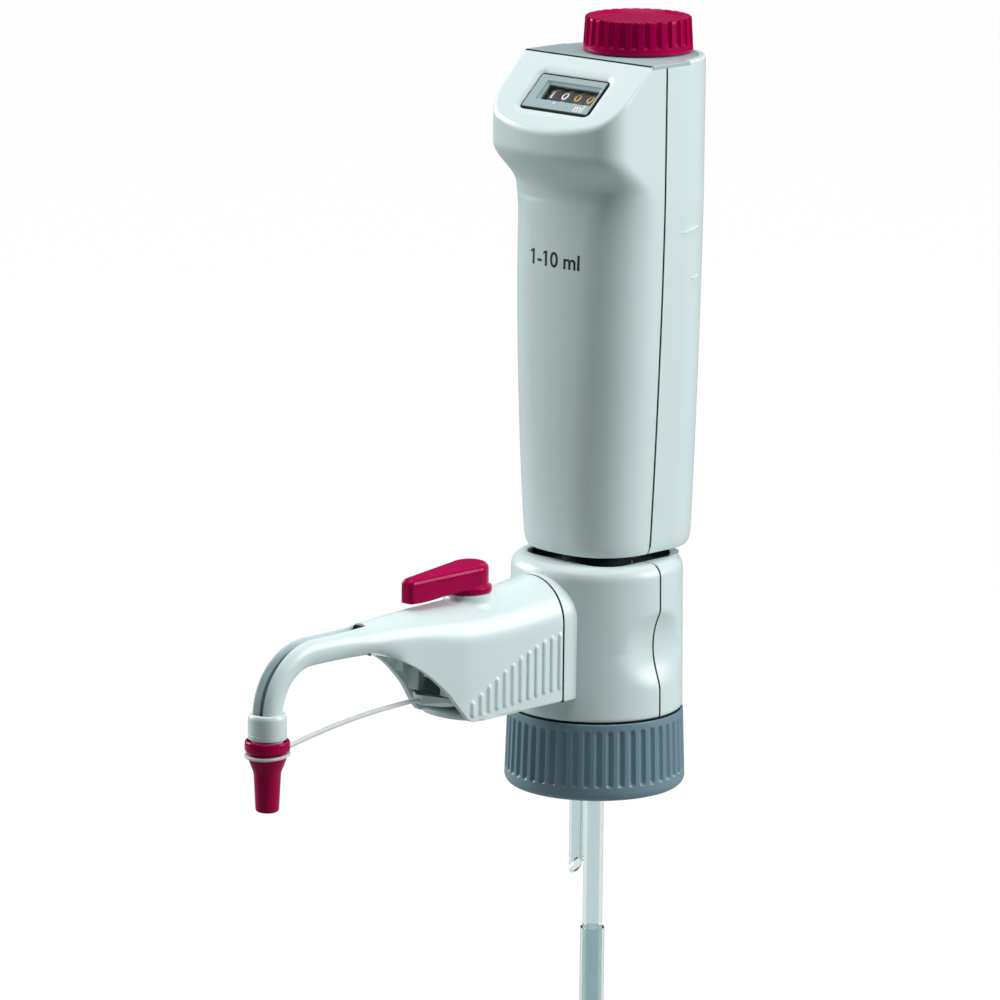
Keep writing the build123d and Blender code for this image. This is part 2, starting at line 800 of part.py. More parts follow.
# Knob, spindle and the carriage that meets the stop bracket at the end of the lift
with BuildPart() as volume_knob:
    with BuildSketch(section_plane(knob_y)):
        with BuildLine():
            rim_out = knob_top_r - 0.8 * knob_edge
            rim_in = rim_out - knob_rim
            dish_r = rim_in - knob_edge
            Polyline((0, knob_z), (knob_low_r, knob_z), (knob_top_r, knob_top - knob_edge))
            Polyline((knob_top_r, knob_top - knob_edge), (rim_out, knob_top))
            Polyline((rim_out, knob_top), (rim_in, knob_top), (dish_r, knob_top - 0.7 * knob_dish))
            Polyline((dish_r, knob_top - 0.7 * knob_dish), (0, knob_top - knob_dish), (0, knob_z))
        make_face()
    revolve(axis=Axis((0, knob_y, 0), (0, 0, 1)))
    with Locations((0, knob_y, knob_z)):
        Cylinder(spindle_r, hub_depth, align=on_base, mode=Mode.SUBTRACT)
    with Locations(Plane(origin=(0, knob_y, knob_z + flute_low))):
        with PolarLocations(knob_low_r - flute_depth, flute_count):
            outward = (Align.MIN, Align.CENTER, Align.MIN)
            Box(2 * flute_depth, flute_w, knob_h, align=outward, mode=Mode.SUBTRACT)
save(volume_knob, "volume_knob")
turned(
    "adjust_spindle",
    [
        (0, spindle_z),
        (spindle_r, spindle_z),
        (spindle_r, base_z + move_gap),
        (spindle_collar_r, base_z + move_gap),
        (spindle_collar_r, base_z + spindle_collar_h),
        (spindle_r, base_z + spindle_collar_h),
        (spindle_r, knob_z + hub_depth),
        (0, knob_z + hub_depth),
    ],
    knob_y,
)
with BuildPart() as stop_carriage:
    with BuildSketch(Plane.XY.offset(carriage_top - carriage_h)):
        with Locations((0, knob_y + 0.3)):
            RectangleRounded(carriage_w, carriage_depth, 2)
        with Locations((0, knob_y)):
            Circle(spindle_r + run_gap, mode=Mode.SUBTRACT)
    extrude(amount=carriage_h)
save(stop_carriage, "stop_carriage")


# Arm cover: an arch that narrows to a round neck, then bends down to the nozzle
def arm_width(y):
    share = min(max((arm_y - y) / (arm_y - groove_y), 0), 1)
    return arm_w - 1.6 * share - (arm_w - 1.6 - arm_neck_r - 1.2) * step(0.42, 1.0, share)


def arm_height(y):
    share = (arm_y - y) / (arm_y - groove_y)
    return arm_top - 3.5 * share


arm_run = groove_y - arm_y + move_gap
arm_levels = [arm_y - move_gap + arm_run * share for share in (0, 0.24, 0.44, 0.58, 0.72, 0.86, 1)]
with BuildPart() as arm_cover:
    for level in arm_levels:
        with BuildSketch(Plane.XZ.offset(-level)):
            add(arch(arm_width(level), arm_height(level), arm_z))
            make_face()
    loft(ruled=True)
    for level in arm_levels[:-1]:
        with BuildSketch(Plane.XZ.offset(-level)):
            add(arch(arm_width(level) - arm_wall, arm_height(level) - arm_wall, arm_z + arm_wall))
            make_face()
    loft(ruled=True, mode=Mode.SUBTRACT)
    for index in range(rib_count):
        rib_y = rib_first_y - index * rib_pitch
        low = arm_z + rib_foot - rib_drop * index
        high = arm_z + rib_top - (rib_top - rib_foot - 1) * (index / (rib_count - 1)) ** 1.5
        rib_x = arm_width(rib_y) + rib_h
        for side in (-1, 1):
            middle = (side * rib_x, rib_y, (low + high) / 2)
            rib_face = Plane(origin=middle, x_dir=(0, 1, 0), z_dir=(side, 0, 0))
            with BuildSketch(rib_face):
                Rectangle(rib_w, high - low)
            extrude(amount=-rib_h - 0.6)
    under_z = neck_centre_z - arm_neck_r
    mouth_y = arm_floor_y - mouth_start
    with BuildSketch(Plane.YZ):
        with BuildLine():
            ThreePointArc((mouth_y, arm_z), (rim_y, arm_z + rim_up), (rim_end_y, under_z))
            Polyline((rim_end_y, under_z), (groove_y - 1, under_z), (groove_y - 1, arm_z - 1))
            Polyline((groove_y - 1, arm_z - 1), (mouth_y, arm_z - 1), (mouth_y, arm_z))
        make_face()
    extrude(amount=30, both=True, mode=Mode.SUBTRACT)
    neck_start = groove_y + 6
    with BuildLine() as neck_path:
        Line((0, neck_start, neck_centre_z), (0, nozzle_y + bend_r, neck_centre_z))
        ThreePointArc(
            (0, nozzle_y + bend_r, neck_centre_z),
            (0, nozzle_y + bend_r * (1 - sin(pi / 4)), bend_z + bend_r * sin(pi / 4)),
            (0, nozzle_y, bend_z),
        )
        Line((0, nozzle_y, bend_z), (0, nozzle_y, neck_end_z))
    with BuildSketch(Plane.XZ.offset(-neck_start)):
        with Locations((0, neck_centre_z)):
            Circle(arm_neck_r)
    sweep()
    with Locations((0, lever_y, arm_height(lever_y) - boss_depth)):
        Cylinder(boss_r, lever_z - move_gap - arm_height(lever_y) + boss_depth,
                 align=on_base)
    with Locations((0, lever_y, channel_z)):
        Cylinder(stem_r + run_gap, lever_z - channel_z, align=on_base, mode=Mode.SUBTRACT)
    outside_y = nozzle_y - 2 * arm_neck_r
    outside_z = neck_centre_z + 2 * arm_neck_r
    with BuildSketch(Plane.YZ):
        with BuildLine():
            Line((groove_y, neck_centre_z - tube_gap_r), (nozzle_y + bend_r, neck_centre_z - tube_gap_r))
            ThreePointArc(
                (nozzle_y + bend_r, neck_centre_z - tube_gap_r),
                bend_point(bend_r - tube_gap_r),
                (nozzle_y + tube_gap_r, bend_z),
            )
            Line((nozzle_y + tube_gap_r, bend_z), (nozzle_y + tube_gap_r, neck_end_z - 1))
            Line((nozzle_y + tube_gap_r, neck_end_z - 1), (outside_y, neck_end_z - 1))
            Polyline((outside_y, neck_end_z - 1), (outside_y, outside_z), (groove_y, outside_z))
            Line((groove_y, outside_z), (groove_y, neck_centre_z - tube_gap_r))
        make_face()
    extrude(amount=groove_w / 2, both=True, mode=Mode.SUBTRACT)
    with BuildSketch(Plane.XZ.offset(-arm_levels[-2] - 1)):
        with Locations((0, neck_centre_z)):
            Circle(tube_gap_r)
    extrude(amount=arm_levels[-2] - groove_y + 2, mode=Mode.SUBTRACT)
save(arm_cover, "arm_cover")

# Discharge valve: a barrel from the core into the arm, with a ball on its seat and a cross bore for the stem
barrel_start = barrel_y + 0.2
barrel_plane = Plane.XZ.offset(barrel_start)
barrel_in = 3.2
ball_chamber = 8.0
tube_seat = 4.0
stem_foot = channel_z - valve_r + 1.5
with BuildPart() as discharge_valve:
    with BuildSketch(barrel_plane):
        with Locations((0, channel_z)):
            Circle(valve_r)
    extrude(amount=-valve_end - barrel_start)
    with BuildSketch(barrel_plane):
        with Locations((0, channel_z)):
            Circle(channel_r)
    extrude(amount=-valve_end, mode=Mode.SUBTRACT)
    with BuildSketch(Plane.XZ.offset(valve_seat)):
        with Locations((0, channel_z)):
            Circle(barrel_in)
    extrude(amount=ball_chamber, mode=Mode.SUBTRACT)
    with Locations((0, lever_y, stem_foot)):
        Cylinder(stem_r + run_gap, 2 * valve_r, align=on_base, mode=Mode.SUBTRACT)
    with BuildSketch(Plane.XZ.offset(-valve_end - tube_seat)):
        with Locations((0, channel_z)):
            Circle(tube_r)
    extrude(amount=tube_seat + 1, mode=Mode.SUBTRACT)
save(discharge_valve, "discharge_valve")
with BuildPart() as discharge_ball:
    with Locations((0, -valve_seat - run_gap - sqrt(ball_r**2 - channel_r**2), channel_z)):
        Sphere(ball_r)
save(discharge_ball, "discharge_ball")

# Recirculation valve: a stem across the barrel and the lever that turns it
with BuildPart() as valve_stem:
    with BuildSketch(Plane(origin=(0, lever_y, stem_foot + 0.2))):
        Circle(stem_r)
    extrude(amount=lever_z + lever_socket - stem_foot - 0.2)
    with BuildSketch(Plane.XZ.offset(-lever_y - stem_r - 1)):
        with Locations((0, channel_z)):
            Circle(channel_r)
    extrude(amount=2 * stem_r + 2, mode=Mode.SUBTRACT)
save(valve_stem, "valve_stem")
with BuildPart() as recirculation_lever:
    with BuildSketch(Plane(origin=(0, lever_y, lever_z))):
        Circle(lever_base_r)
    extrude(amount=lever_base_h)
    lean = Plane(origin=(0, lever_y, lever_z + lever_h), x_dir=(1, 0, 0), z_dir=(0, -lever_fall, lever_reach))
    with BuildSketch(lean):
        with BuildLine():
            waist = (lever_rear_r * cos(radians(20)), -lever_rear_r * sin(radians(20)))
            CenterArc((0, 0), lever_rear_r, -20, 220)
            Line(waist, (lever_tip_w, -lever_reach))
            Line((lever_tip_w, -lever_reach), (-lever_tip_w, -lever_reach))
            Line((-lever_tip_w, -lever_reach), (-waist[0], waist[1]))
        make_face()
    extrude(amount=-lever_h - lever_fall)
    upright_edges = recirculation_lever.edges().filter_by(Axis((0, 0, 0), lean.z_dir))
    fillet(upright_edges.group_by(Axis.Y)[0], lever_corner_r)
    fillet(recirculation_lever.faces().sort_by(Axis.Z)[-1].edges(), lever_edge_r)
    split(bisect_by=Plane(origin=(0, lever_y, lever_z)), keep=Keep.TOP)
    with Locations((0, lever_y, lever_z)):
        Cylinder(stem_r, lever_socket, align=on_base, mode=Mode.SUBTRACT)
save(recirculation_lever, "recirculation_lever")

# Discharge tube: bent plastic tube from the valve, along the neck's groove, to the tip of the nozzle
def tube_ring(plane):
    """Annulus of the discharge tube on this plane."""
    with BuildSketch(plane) as ring:
        Circle(tube_r)
        Circle(tube_r - tube_wall, mode=Mode.SUBTRACT)
    return ring.sketch


rise_y = valve_end - tube_seat  # the tube leaves the barrel here and climbs to the neck's centre line
climb = neck_centre_z - channel_z
climb_turn = radians(climb_angle)
climb_r = climb / (2 * (1 - cos(climb_turn)))
with BuildPart() as discharge_tube:
    add(
        extrude(
            tube_ring(Plane(origin=(0, valve_end + tube_seat, channel_z), z_dir=(0, -1, 0))),
            valve_end + tube_seat - rise_y,
        )
    )
    add(
        revolve(
            tube_ring(Plane(origin=(0, rise_y, channel_z), z_dir=(0, -1, 0))),
            Axis((0, rise_y, channel_z + climb_r), (-1, 0, 0)), climb_angle,
        )
    )
    level_y = rise_y - 2 * climb_r * sin(climb_turn)
    add(
        revolve(
            tube_ring(Plane(origin=(0, level_y, neck_centre_z), z_dir=(0, 1, 0))),
            Axis((0, level_y, neck_centre_z - climb_r), (-1, 0, 0)), climb_angle,
        )
    )
    bend_start = nozzle_y + bend_r
    add(extrude(tube_ring(Plane(origin=(0, level_y, neck_centre_z), z_dir=(0, -1, 0))), level_y - bend_start))
    add(
        revolve(
            tube_ring(Plane(origin=(0, bend_start, neck_centre_z), z_dir=(0, -1, 0))),
            Axis((0, bend_start, bend_z), (1, 0, 0)), 90,
        )
    )
    add(extrude(tube_ring(Plane(origin=(0, nozzle_y, bend_z), z_dir=(0, 0, -1))), bend_z - tip_z))
save(discharge_tube, "discharge_tube")

# Nozzle: sleeve under the neck with a threaded spigot for the cap
turned(
    "nozzle",
    [
        (tube_r + run_gap, spigot_z),
        (spigot_r, spigot_z),
        (spigot_r, sleeve_z),
        (sleeve_r, sleeve_z),
        (sleeve_r, sleeve_top - sleeve_shoulder),
        (arm_neck_r + 0.6, sleeve_top),
        (arm_neck_r + shell_gap, sleeve_top),
        (arm_neck_r + shell_gap, neck_end_z - shell_gap),
        (tube_r + run_gap, neck_end_z - shell_gap),
    ],
    nozzle_y,
)

cap_bore_r = tube_r + 3 * move_gap

# Screw cap with its flange, the ring that turns freely under the flange, and the strap that keeps it
turned(
    "screw_cap",
    [
        (0, cap_z),
        (cap_end_r, cap_z),
        (cap_end_r + cap_stem_taper, cap_z + cap_stem_h),
        (cap_body_r, cap_z + cap_stem_h + cap_cone_h),
        (cap_body_r, cap_top - cap_flange_h),
        (cap_ring_r, cap_top - cap_flange_h),
        (cap_ring_r, cap_top),
        (spigot_r + move_gap, cap_top),
        (spigot_r + move_gap, spigot_z - move_gap),
        (cap_bore_r, spigot_z - move_gap),
        (cap_bore_r, cap_z + cap_floor),
        (0, cap_z + cap_floor),
    ],
    nozzle_y,
)
ring_top = cap_top - cap_flange_h - move_gap
pipe("cap_ring", cap_ring_r, cap_body_r + move_gap, ring_top - strap_t, ring_top, nozzle_y)
strap_z = ring_top - strap_t / 2
with BuildPart() as cap_tether:
    with BuildLine() as strap_path:
        ThreePointArc(
            (0, nozzle_y + cap_ring_r + move_gap, strap_z),
            (0, (nozzle_y + eye_y) / 2, (strap_z + eye_z) / 2 + strap_bow),
            (0, eye_y, eye_z),
        )
    with BuildSketch(Plane(strap_path.line @ 0, z_dir=strap_path.line % 0)):
        Circle(strap_t / 2)
    sweep()
save(cap_tether, "cap_tether")

# Holder: a saddle in the mouth of the arm that carries the strap's eye and backs the barrel
with BuildPart() as tether_holder:
    with BuildSketch(Plane.YZ):
        with BuildLine():
            plate_y = arm_floor_y + 2
            plate_z = arm_z + arm_wall
            saddle_z = arm_z + saddle_up
            Polyline((plate_y, plate_z), (plate_y, channel_z - valve_r - 1), (saddle_y, saddle_z))
            Polyline((saddle_y, saddle_z), (eye_y + 2, eye_z + eye_half_t), (eye_y, eye_z + eye_half_t))
            Polyline((eye_y, eye_z + eye_half_t), (eye_y, eye_z - eye_half_t), (eye_y + 4, eye_z - eye_half_t))
            Polyline((eye_y + 4, eye_z - eye_half_t), (arm_floor_y - 3, plate_z + 1), (plate_y, plate_z))
        make_face()
    extrude(amount=holder_w, both=True)
save(tether_holder, "tether_holder")
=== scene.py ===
# Bottle top dispenser, 1 to 10 ml: a sliding piston housing with a counter and a volume knob,
# on a valve block that swivels on its threaded collar, with a discharge arm and a capped nozzle.
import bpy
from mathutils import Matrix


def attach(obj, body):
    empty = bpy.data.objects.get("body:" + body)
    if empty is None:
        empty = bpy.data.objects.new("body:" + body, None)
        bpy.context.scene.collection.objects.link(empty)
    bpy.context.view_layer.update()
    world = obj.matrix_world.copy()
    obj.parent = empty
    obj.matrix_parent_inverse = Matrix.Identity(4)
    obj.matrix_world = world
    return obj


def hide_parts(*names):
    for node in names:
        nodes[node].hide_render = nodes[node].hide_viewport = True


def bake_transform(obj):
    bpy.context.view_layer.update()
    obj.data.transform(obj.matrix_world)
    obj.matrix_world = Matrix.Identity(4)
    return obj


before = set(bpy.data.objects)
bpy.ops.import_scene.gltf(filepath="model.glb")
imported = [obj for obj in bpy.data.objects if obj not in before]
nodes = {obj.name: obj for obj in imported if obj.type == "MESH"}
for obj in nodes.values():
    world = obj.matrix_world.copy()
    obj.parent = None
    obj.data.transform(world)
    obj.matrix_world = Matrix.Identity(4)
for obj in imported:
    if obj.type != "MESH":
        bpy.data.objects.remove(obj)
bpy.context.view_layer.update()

import math
import bmesh
import bpy
from mathutils import Matrix, Vector
from mathutils.geometry import tessellate_polygon

scene = bpy.context.scene
mm = 0.001
print("frame loaded:", len(nodes), "parts")


# Small tools
def linearColour(hexText, alpha=1.0):
    values = [int(hexText[i:i + 2], 16) / 255 for i in (1, 3, 5)]
    return [v / 12.92 if v <= 0.04045 else ((v + 0.055) / 1.055) ** 2.4 for v in values] + [alpha]


def addNode(tree, kind, settings=None, inputs=None):
    node = tree.nodes.new(kind)
    for key, value in (settings or {}).items():
        setattr(node, key, value)
    for key, value in (inputs or {}).items():
        if isinstance(value, bpy.types.NodeSocket):
            tree.links.new(value, node.inputs[key])
        else:
            node.inputs[key].default_value = value
    return node


def smooth(low, high, value):
    share = min(max((value - low) / (high - low), 0), 1)
    return share * share * (3 - 2 * share)


def mix(a, b, share):
    return a + (b - a) * share


def makePiece(name, verts, faces, body, material, replaced=(), sharpAngle=35, weighted=True):
    # millimetre points in, a smooth shaded object in metres out
    mesh = bpy.data.meshes.new(name)
    mesh.from_pydata([Vector(v) * mm for v in verts], [], faces)
    work = bmesh.new()
    work.from_mesh(mesh)
    bmesh.ops.remove_doubles(work, verts=work.verts, dist=0.002 * mm)
    bmesh.ops.dissolve_degenerate(work, edges=work.edges, dist=0.001 * mm)
    bmesh.ops.recalc_face_normals(work, faces=work.faces)
    for face in work.faces:
        face.smooth = True
    for edge in work.edges:
        if len(edge.link_faces) == 2 and edge.calc_face_angle() > math.radians(sharpAngle):
            edge.smooth = False
    work.to_mesh(mesh)
    work.free()
    mesh.materials.append(material)
    piece = bpy.data.objects.new(name, mesh)
    scene.collection.objects.link(piece)
    if weighted:
        tidy = piece.modifiers.new("even normals", "WEIGHTED_NORMAL")
        tidy.keep_sharp = True
    if replaced:
        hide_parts(*replaced)
    if body:
        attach(piece, body)
    return piece


def stripFaces(rows, columns, closed=False):
    # quads between rows of equal length, numbered row by row
    faces = []
    last = columns if closed else columns - 1
    for row in range(rows - 1):
        for column in range(last):
            a = row * columns + column
            b = row * columns + (column + 1) % columns
            faces.append((a, b, b + columns, a + columns))
    return faces


# Materials
def plasticMaterial(name, colourHex, roughness, ior=1.5, grainMm=0.6, grainHeightMm=0.004, tone=0.03,
                    coat=0.0, waxy=0.0, waxyMm=1.0, level=0.5):
    # Moulded plastic: an even body colour that drifts a little, and the fine orange peel of the mould
    material = bpy.data.materials.new(name)
    material.use_nodes = True
    tree = material.node_tree
    shader = tree.nodes["Principled BSDF"]
    place = addNode(tree, "ShaderNodeTexCoord")
    drift = addNode(tree, "ShaderNodeTexNoise", {}, {"Vector": place.outputs["Object"], "Scale": 45.0, "Detail": 2.0})
    base = linearColour(colourHex)
    darker = [c * (1 - 2 * tone) for c in base[:3]] + [1.0]
    tint = addNode(tree, "ShaderNodeMix", {"data_type": "RGBA"},
                   {"Factor": drift.outputs["Fac"], "A": base, "B": darker})
    tree.links.new(tint.outputs["Result"], shader.inputs["Base Color"])
    grain = addNode(tree, "ShaderNodeTexNoise", {},
                    {"Vector": place.outputs["Object"], "Scale": 1 / (grainMm * mm), "Detail": 3.0})
    gloss = addNode(tree, "ShaderNodeMapRange", {},
                    {"Value": grain.outputs["Fac"], "To Min": roughness * 0.85, "To Max": roughness * 1.15})
    tree.links.new(gloss.outputs["Result"], shader.inputs["Roughness"])
    bump = addNode(tree, "ShaderNodeBump", {},
                   {"Height": grain.outputs["Fac"], "Strength": 0.5, "Distance": grainHeightMm * mm})
    tree.links.new(bump.outputs["Normal"], shader.inputs["Normal"])
    shader.inputs["IOR"].default_value = ior
    shader.inputs["Specular IOR Level"].default_value = level
    if coat:
        shader.inputs["Coat Weight"].default_value = coat
        shader.inputs["Coat Roughness"].default_value = 0.05
    if waxy:
        shader.inputs["Subsurface Weight"].default_value = waxy
        shader.inputs["Subsurface Radius"].default_value = (1.0, 0.9, 0.8)
        shader.inputs["Subsurface Scale"].default_value = waxyMm * mm
    return material


def clearMaterial(name, colourHex, roughness, ior, streakMm=1.5):
    # Clear plastic or glass: nearly smooth, with faint drawing streaks along Z
    material = bpy.data.materials.new(name)
    material.use_nodes = True
    tree = material.node_tree
    shader = tree.nodes["Principled BSDF"]
    shader.inputs["Base Color"].default_value = linearColour(colourHex)
    shader.inputs["Transmission Weight"].default_value = 1.0
    shader.inputs["IOR"].default_value = ior
    place = addNode(tree, "ShaderNodeTexCoord")
    stretch = addNode(tree, "ShaderNodeMapping", {}, {"Vector": place.outputs["Object"], "Scale": (1.0, 1.0, 0.05)})
    streak = addNode(tree, "ShaderNodeTexNoise", {},
                     {"Vector": stretch.outputs["Vector"], "Scale": 1 / (streakMm * mm), "Detail": 2.0})
    gloss = addNode(tree, "ShaderNodeMapRange", {},
                    {"Value": streak.outputs["Fac"], "To Min": roughness * 0.6, "To Max": roughness * 1.4})
    tree.links.new(gloss.outputs["Result"], shader.inputs["Roughness"])
    # lamp light goes through it, so what lies behind isn't left in its shadow
    rays = addNode(tree, "ShaderNodeLightPath")
    clear = addNode(tree, "ShaderNodeBsdfTransparent")
    through = addNode(tree, "ShaderNodeMixShader", {},
                      {0: rays.outputs["Is Shadow Ray"], 1: shader.outputs[0], 2: clear.outputs[0]})
    tree.links.new(through.outputs[0], tree.nodes["Material Output"].inputs["Surface"])
    return material


def metalMaterial(name, colourHex, roughness, lineMm=0.4):
    # Ground steel: bright, with fine turning lines across the axis
    material = bpy.data.materials.new(name)
    material.use_nodes = True
    tree = material.node_tree
    shader = tree.nodes["Principled BSDF"]
    shader.inputs["Metallic"].default_value = 1.0
    place = addNode(tree, "ShaderNodeTexCoord")
    stretch = addNode(tree, "ShaderNodeMapping", {}, {"Vector": place.outputs["Object"], "Scale": (0.05, 0.05, 1.0)})
    lines = addNode(tree, "ShaderNodeTexNoise", {},
                    {"Vector": stretch.outputs["Vector"], "Scale": 1 / (lineMm * mm), "Detail": 3.0})
    base = linearColour(colourHex)
    tint = addNode(tree, "ShaderNodeMix", {"data_type": "RGBA"},
                   {"Factor": lines.outputs["Fac"], "A": base, "B": [c * 0.85 for c in base[:3]] + [1.0]})
    tree.links.new(tint.outputs["Result"], shader.inputs["Base Color"])
    gloss = addNode(tree, "ShaderNodeMapRange", {},
                    {"Value": lines.outputs["Fac"], "To Min": roughness * 0.8, "To Max": roughness * 1.2})
    tree.links.new(gloss.outputs["Result"], shader.inputs["Roughness"])
    return material


# cool white shell with a soft, broad sheen and a barely visible grain
whiteAbs = plasticMaterial("white ABS, satin moulded", "#e4f4f4", 0.32, 1.54)
# deep red controls with a small sharp highlight that keeps their colour
crimsonPbt = plasticMaterial("crimson PBT, gloss moulded", "#b0024c", 0.16, 1.46, level=0.13)
# blue-grey collar, and the grey sheet of painted shade in the tube's groove, a little coarser than the white
slatePp = plasticMaterial("slate grey PP, fine matt moulded", "#7896a3", 0.33, 1.49, grainMm=0.5, grainHeightMm=0.006)
# light grey top plate that stands back from the white shell
paleGreyPp = plasticMaterial("pale grey PP, satin moulded", "#aac2c6", 0.36, 1.49)
# near-black matt guide, tray and plug that read as depth between the white parts
darkPp = plasticMaterial("charcoal PP, matt moulded", "#2b3336", 0.5, 1.49, grainHeightMm=0.01)
# cool grey display frame, a tone below the white
bezelGrey = plasticMaterial("bezel grey ABS, satin moulded", "#a6bdbf", 0.36, 1.54)
# milky, slightly translucent strap, ring and inner frames
naturalPp = plasticMaterial("natural PP, unpigmented moulded", "#dfe4e0", 0.4, 1.49, waxy=0.25, waxyMm=1.5)
# chalky white turned valves and seals with a waxy softness
ptfe = plasticMaterial("PTFE, turned from rod", "#eeeeea", 0.45, 1.38, grainMm=0.4, waxy=0.3, waxyMm=1.0)
# hard, bright piston and balls with a tight highlight
ceramic = plasticMaterial("alumina ceramic, ground", "#efeee8", 0.14, 1.76)
# flat black wheels, and black strips and rings of painted shade in the gaps between parts, drawing the dark parting
# lines
blackPomAndGapShade = plasticMaterial("black POM wheels and painted gap shade", "#08090a", 0.6, 1.48, level=0.2)
# water-clear tube, seen by its bright and dark edges
tubePfa = clearMaterial("clear PFA tube, extruded", "#d9e4e4", 0.08, 1.35)
# clear tube with a grey tint that paints the shade it lies in, darker where its wall is seen edge on
shadedTubePfa = clearMaterial("clear PFA tube, grey tint of painted shade", "#5f7377", 0.05, 1.35)
# clear cylinder with almost no tint and clean reflections
drawnGlass = clearMaterial("borosilicate glass, drawn", "#f2f7f6", 0.02, 1.474)
# flat clear window with a faint glint over the wheels
clearPc = clearMaterial("clear PC, moulded", "#f6f8f8", 0.03, 1.585)
# cool metal with fine lines from grinding
groundSteel = metalMaterial("stainless steel, ground", "#b9bcbf", 0.25)
# matt white figures on the black wheels
printWhite = plasticMaterial("white printing ink", "#f4f6f4", 0.5, 1.5, tone=0.01)
# matt gold figures on the wheels of the fractions
printGold = plasticMaterial("gold printing ink", "#c9982c", 0.45, 1.5, tone=0.02)
# dark matt lettering on the white shell
printDark = plasticMaterial("dark grey printing ink", "#1c2427", 0.5, 1.5, tone=0.01)

finishes = {
    whiteAbs: ["housing_front", "housing_rear", "valve_block_front", "valve_block_rear", "arm_cover", "nozzle",
               "tether_holder", "lower_guide"],
    crimsonPbt: ["volume_knob", "recirculation_lever", "screw_cap"],
    slatePp: ["thread_collar"],
    paleGreyPp: ["top_cover"],
    darkPp: ["guide_sleeve", "recess_tray", "stop_carriage", "vent_plug"],
    bezelGrey: ["display_frame"],
    naturalPp: ["stop_bracket", "retaining_ring", "head_frame", "counter_frame", "cap_tether",
                "cap_ring", "rod_nut"],
    ptfe: ["valve_core", "inlet_valve", "discharge_valve", "valve_stem", "piston_seal", "rim_gasket"],
    tubePfa: ["filling_tube_upper", "filling_tube_lower", "recirculation_tube"],
    shadedTubePfa: ["discharge_tube"],
    drawnGlass: ["glass_cylinder"],
    clearPc: ["display_window"],
    ceramic: ["piston", "inlet_ball", "discharge_ball"],
    groundSteel: ["piston_rod", "counter_axle", "adjust_spindle"],
    blackPomAndGapShade: ["digit_wheel_1", "digit_wheel_2", "digit_wheel_3", "digit_wheel_4"],
}
for material, names in finishes.items():
    for name in names:
        slots = nodes[name].data.materials
        slots.clear()
        slots.append(material)
print("materials made:", len(bpy.data.materials))


# Camera turned to the front left and a little above, three large soft lamps and a pale floor
camera = {"azimuth": 43.5, "elevation": 12.0, "roll": 0.55, "place": (1294.15, -1406.42, 492.86), "lens": 234.0}
turn, rise, roll = (math.radians(camera[key]) for key in ("azimuth", "elevation", "roll"))
back = Vector((math.sin(turn) * math.cos(rise), -math.cos(turn) * math.cos(rise), math.sin(rise)))
right = Vector((math.cos(turn), math.sin(turn), 0))
up = back.cross(right)
axisX = math.cos(roll) * right + math.sin(roll) * up
axisY = math.cos(roll) * up - math.sin(roll) * right
cameraData = bpy.data.cameras.new("camera")
cameraData.lens = camera["lens"]
cameraData.sensor_width = 36.0
cameraData.clip_start, cameraData.clip_end = 0.05, 20
cameraObject = bpy.data.objects.new("camera", cameraData)
scene.collection.objects.link(cameraObject)
facing = Matrix((axisX, axisY, back)).transposed().to_4x4()
cameraObject.matrix_world = Matrix.Translation(Vector(camera["place"]) * mm) @ facing
scene.camera = cameraObject

studio = {
    "worldStrength": 0.06,
    "floorZ": -175.0,
    "lamps": [  # name, azimuth, elevation, distance m, size m, share of full light
        ("left bank", -75, 20, 1.3, 0.7, 0.82),
        ("right bank", 126, 22, 1.3, 0.7, 0.82),
        ("top bank", 0, 86, 1.1, 1.3, 1.05),
    ],
}
world = bpy.data.worlds.new("studio")
scene.world = world
world.use_nodes = True
tree = world.node_tree
tree.nodes.clear()
rays = addNode(tree, "ShaderNodeLightPath")
clearRays = addNode(tree, "ShaderNodeMath", {"operation": "MAXIMUM"},
                    {0: rays.outputs["Is Camera Ray"], 1: rays.outputs["Is Transmission Ray"]})
soft = addNode(tree, "ShaderNodeBackground", {}, {"Color": (0.78, 1.0, 1.0, 1), "Strength": studio["worldStrength"]})
white = addNode(tree, "ShaderNodeBackground", {}, {"Color": (1, 1, 1, 1), "Strength": 1.0})
blend = addNode(tree, "ShaderNodeMixShader", {},
                {0: clearRays.outputs[0], 1: soft.outputs[0], 2: white.outputs[0]})
addNode(tree, "ShaderNodeOutputWorld", {}, {"Surface": blend.outputs[0]})

aim = Vector((0, -30, 110)) * mm
for name, azimuth, elevation, distance, size, share in studio["lamps"]:
    a, e = math.radians(azimuth), math.radians(elevation)
    away = Vector((math.sin(a) * math.cos(e), -math.cos(a) * math.cos(e), math.sin(e)))
    lampData = bpy.data.lights.new(name, "AREA")
    lampData.shape = "SQUARE"
    lampData.size = size
    lampData.energy = share * math.pi * math.pi * distance * distance
    lamp = bpy.data.objects.new(name, lampData)
    scene.collection.objects.link(lamp)
    lamp.location = aim + away * distance
    lamp.rotation_mode = "QUATERNION"
    lamp.rotation_quaternion = away.to_track_quat("Z", "Y")

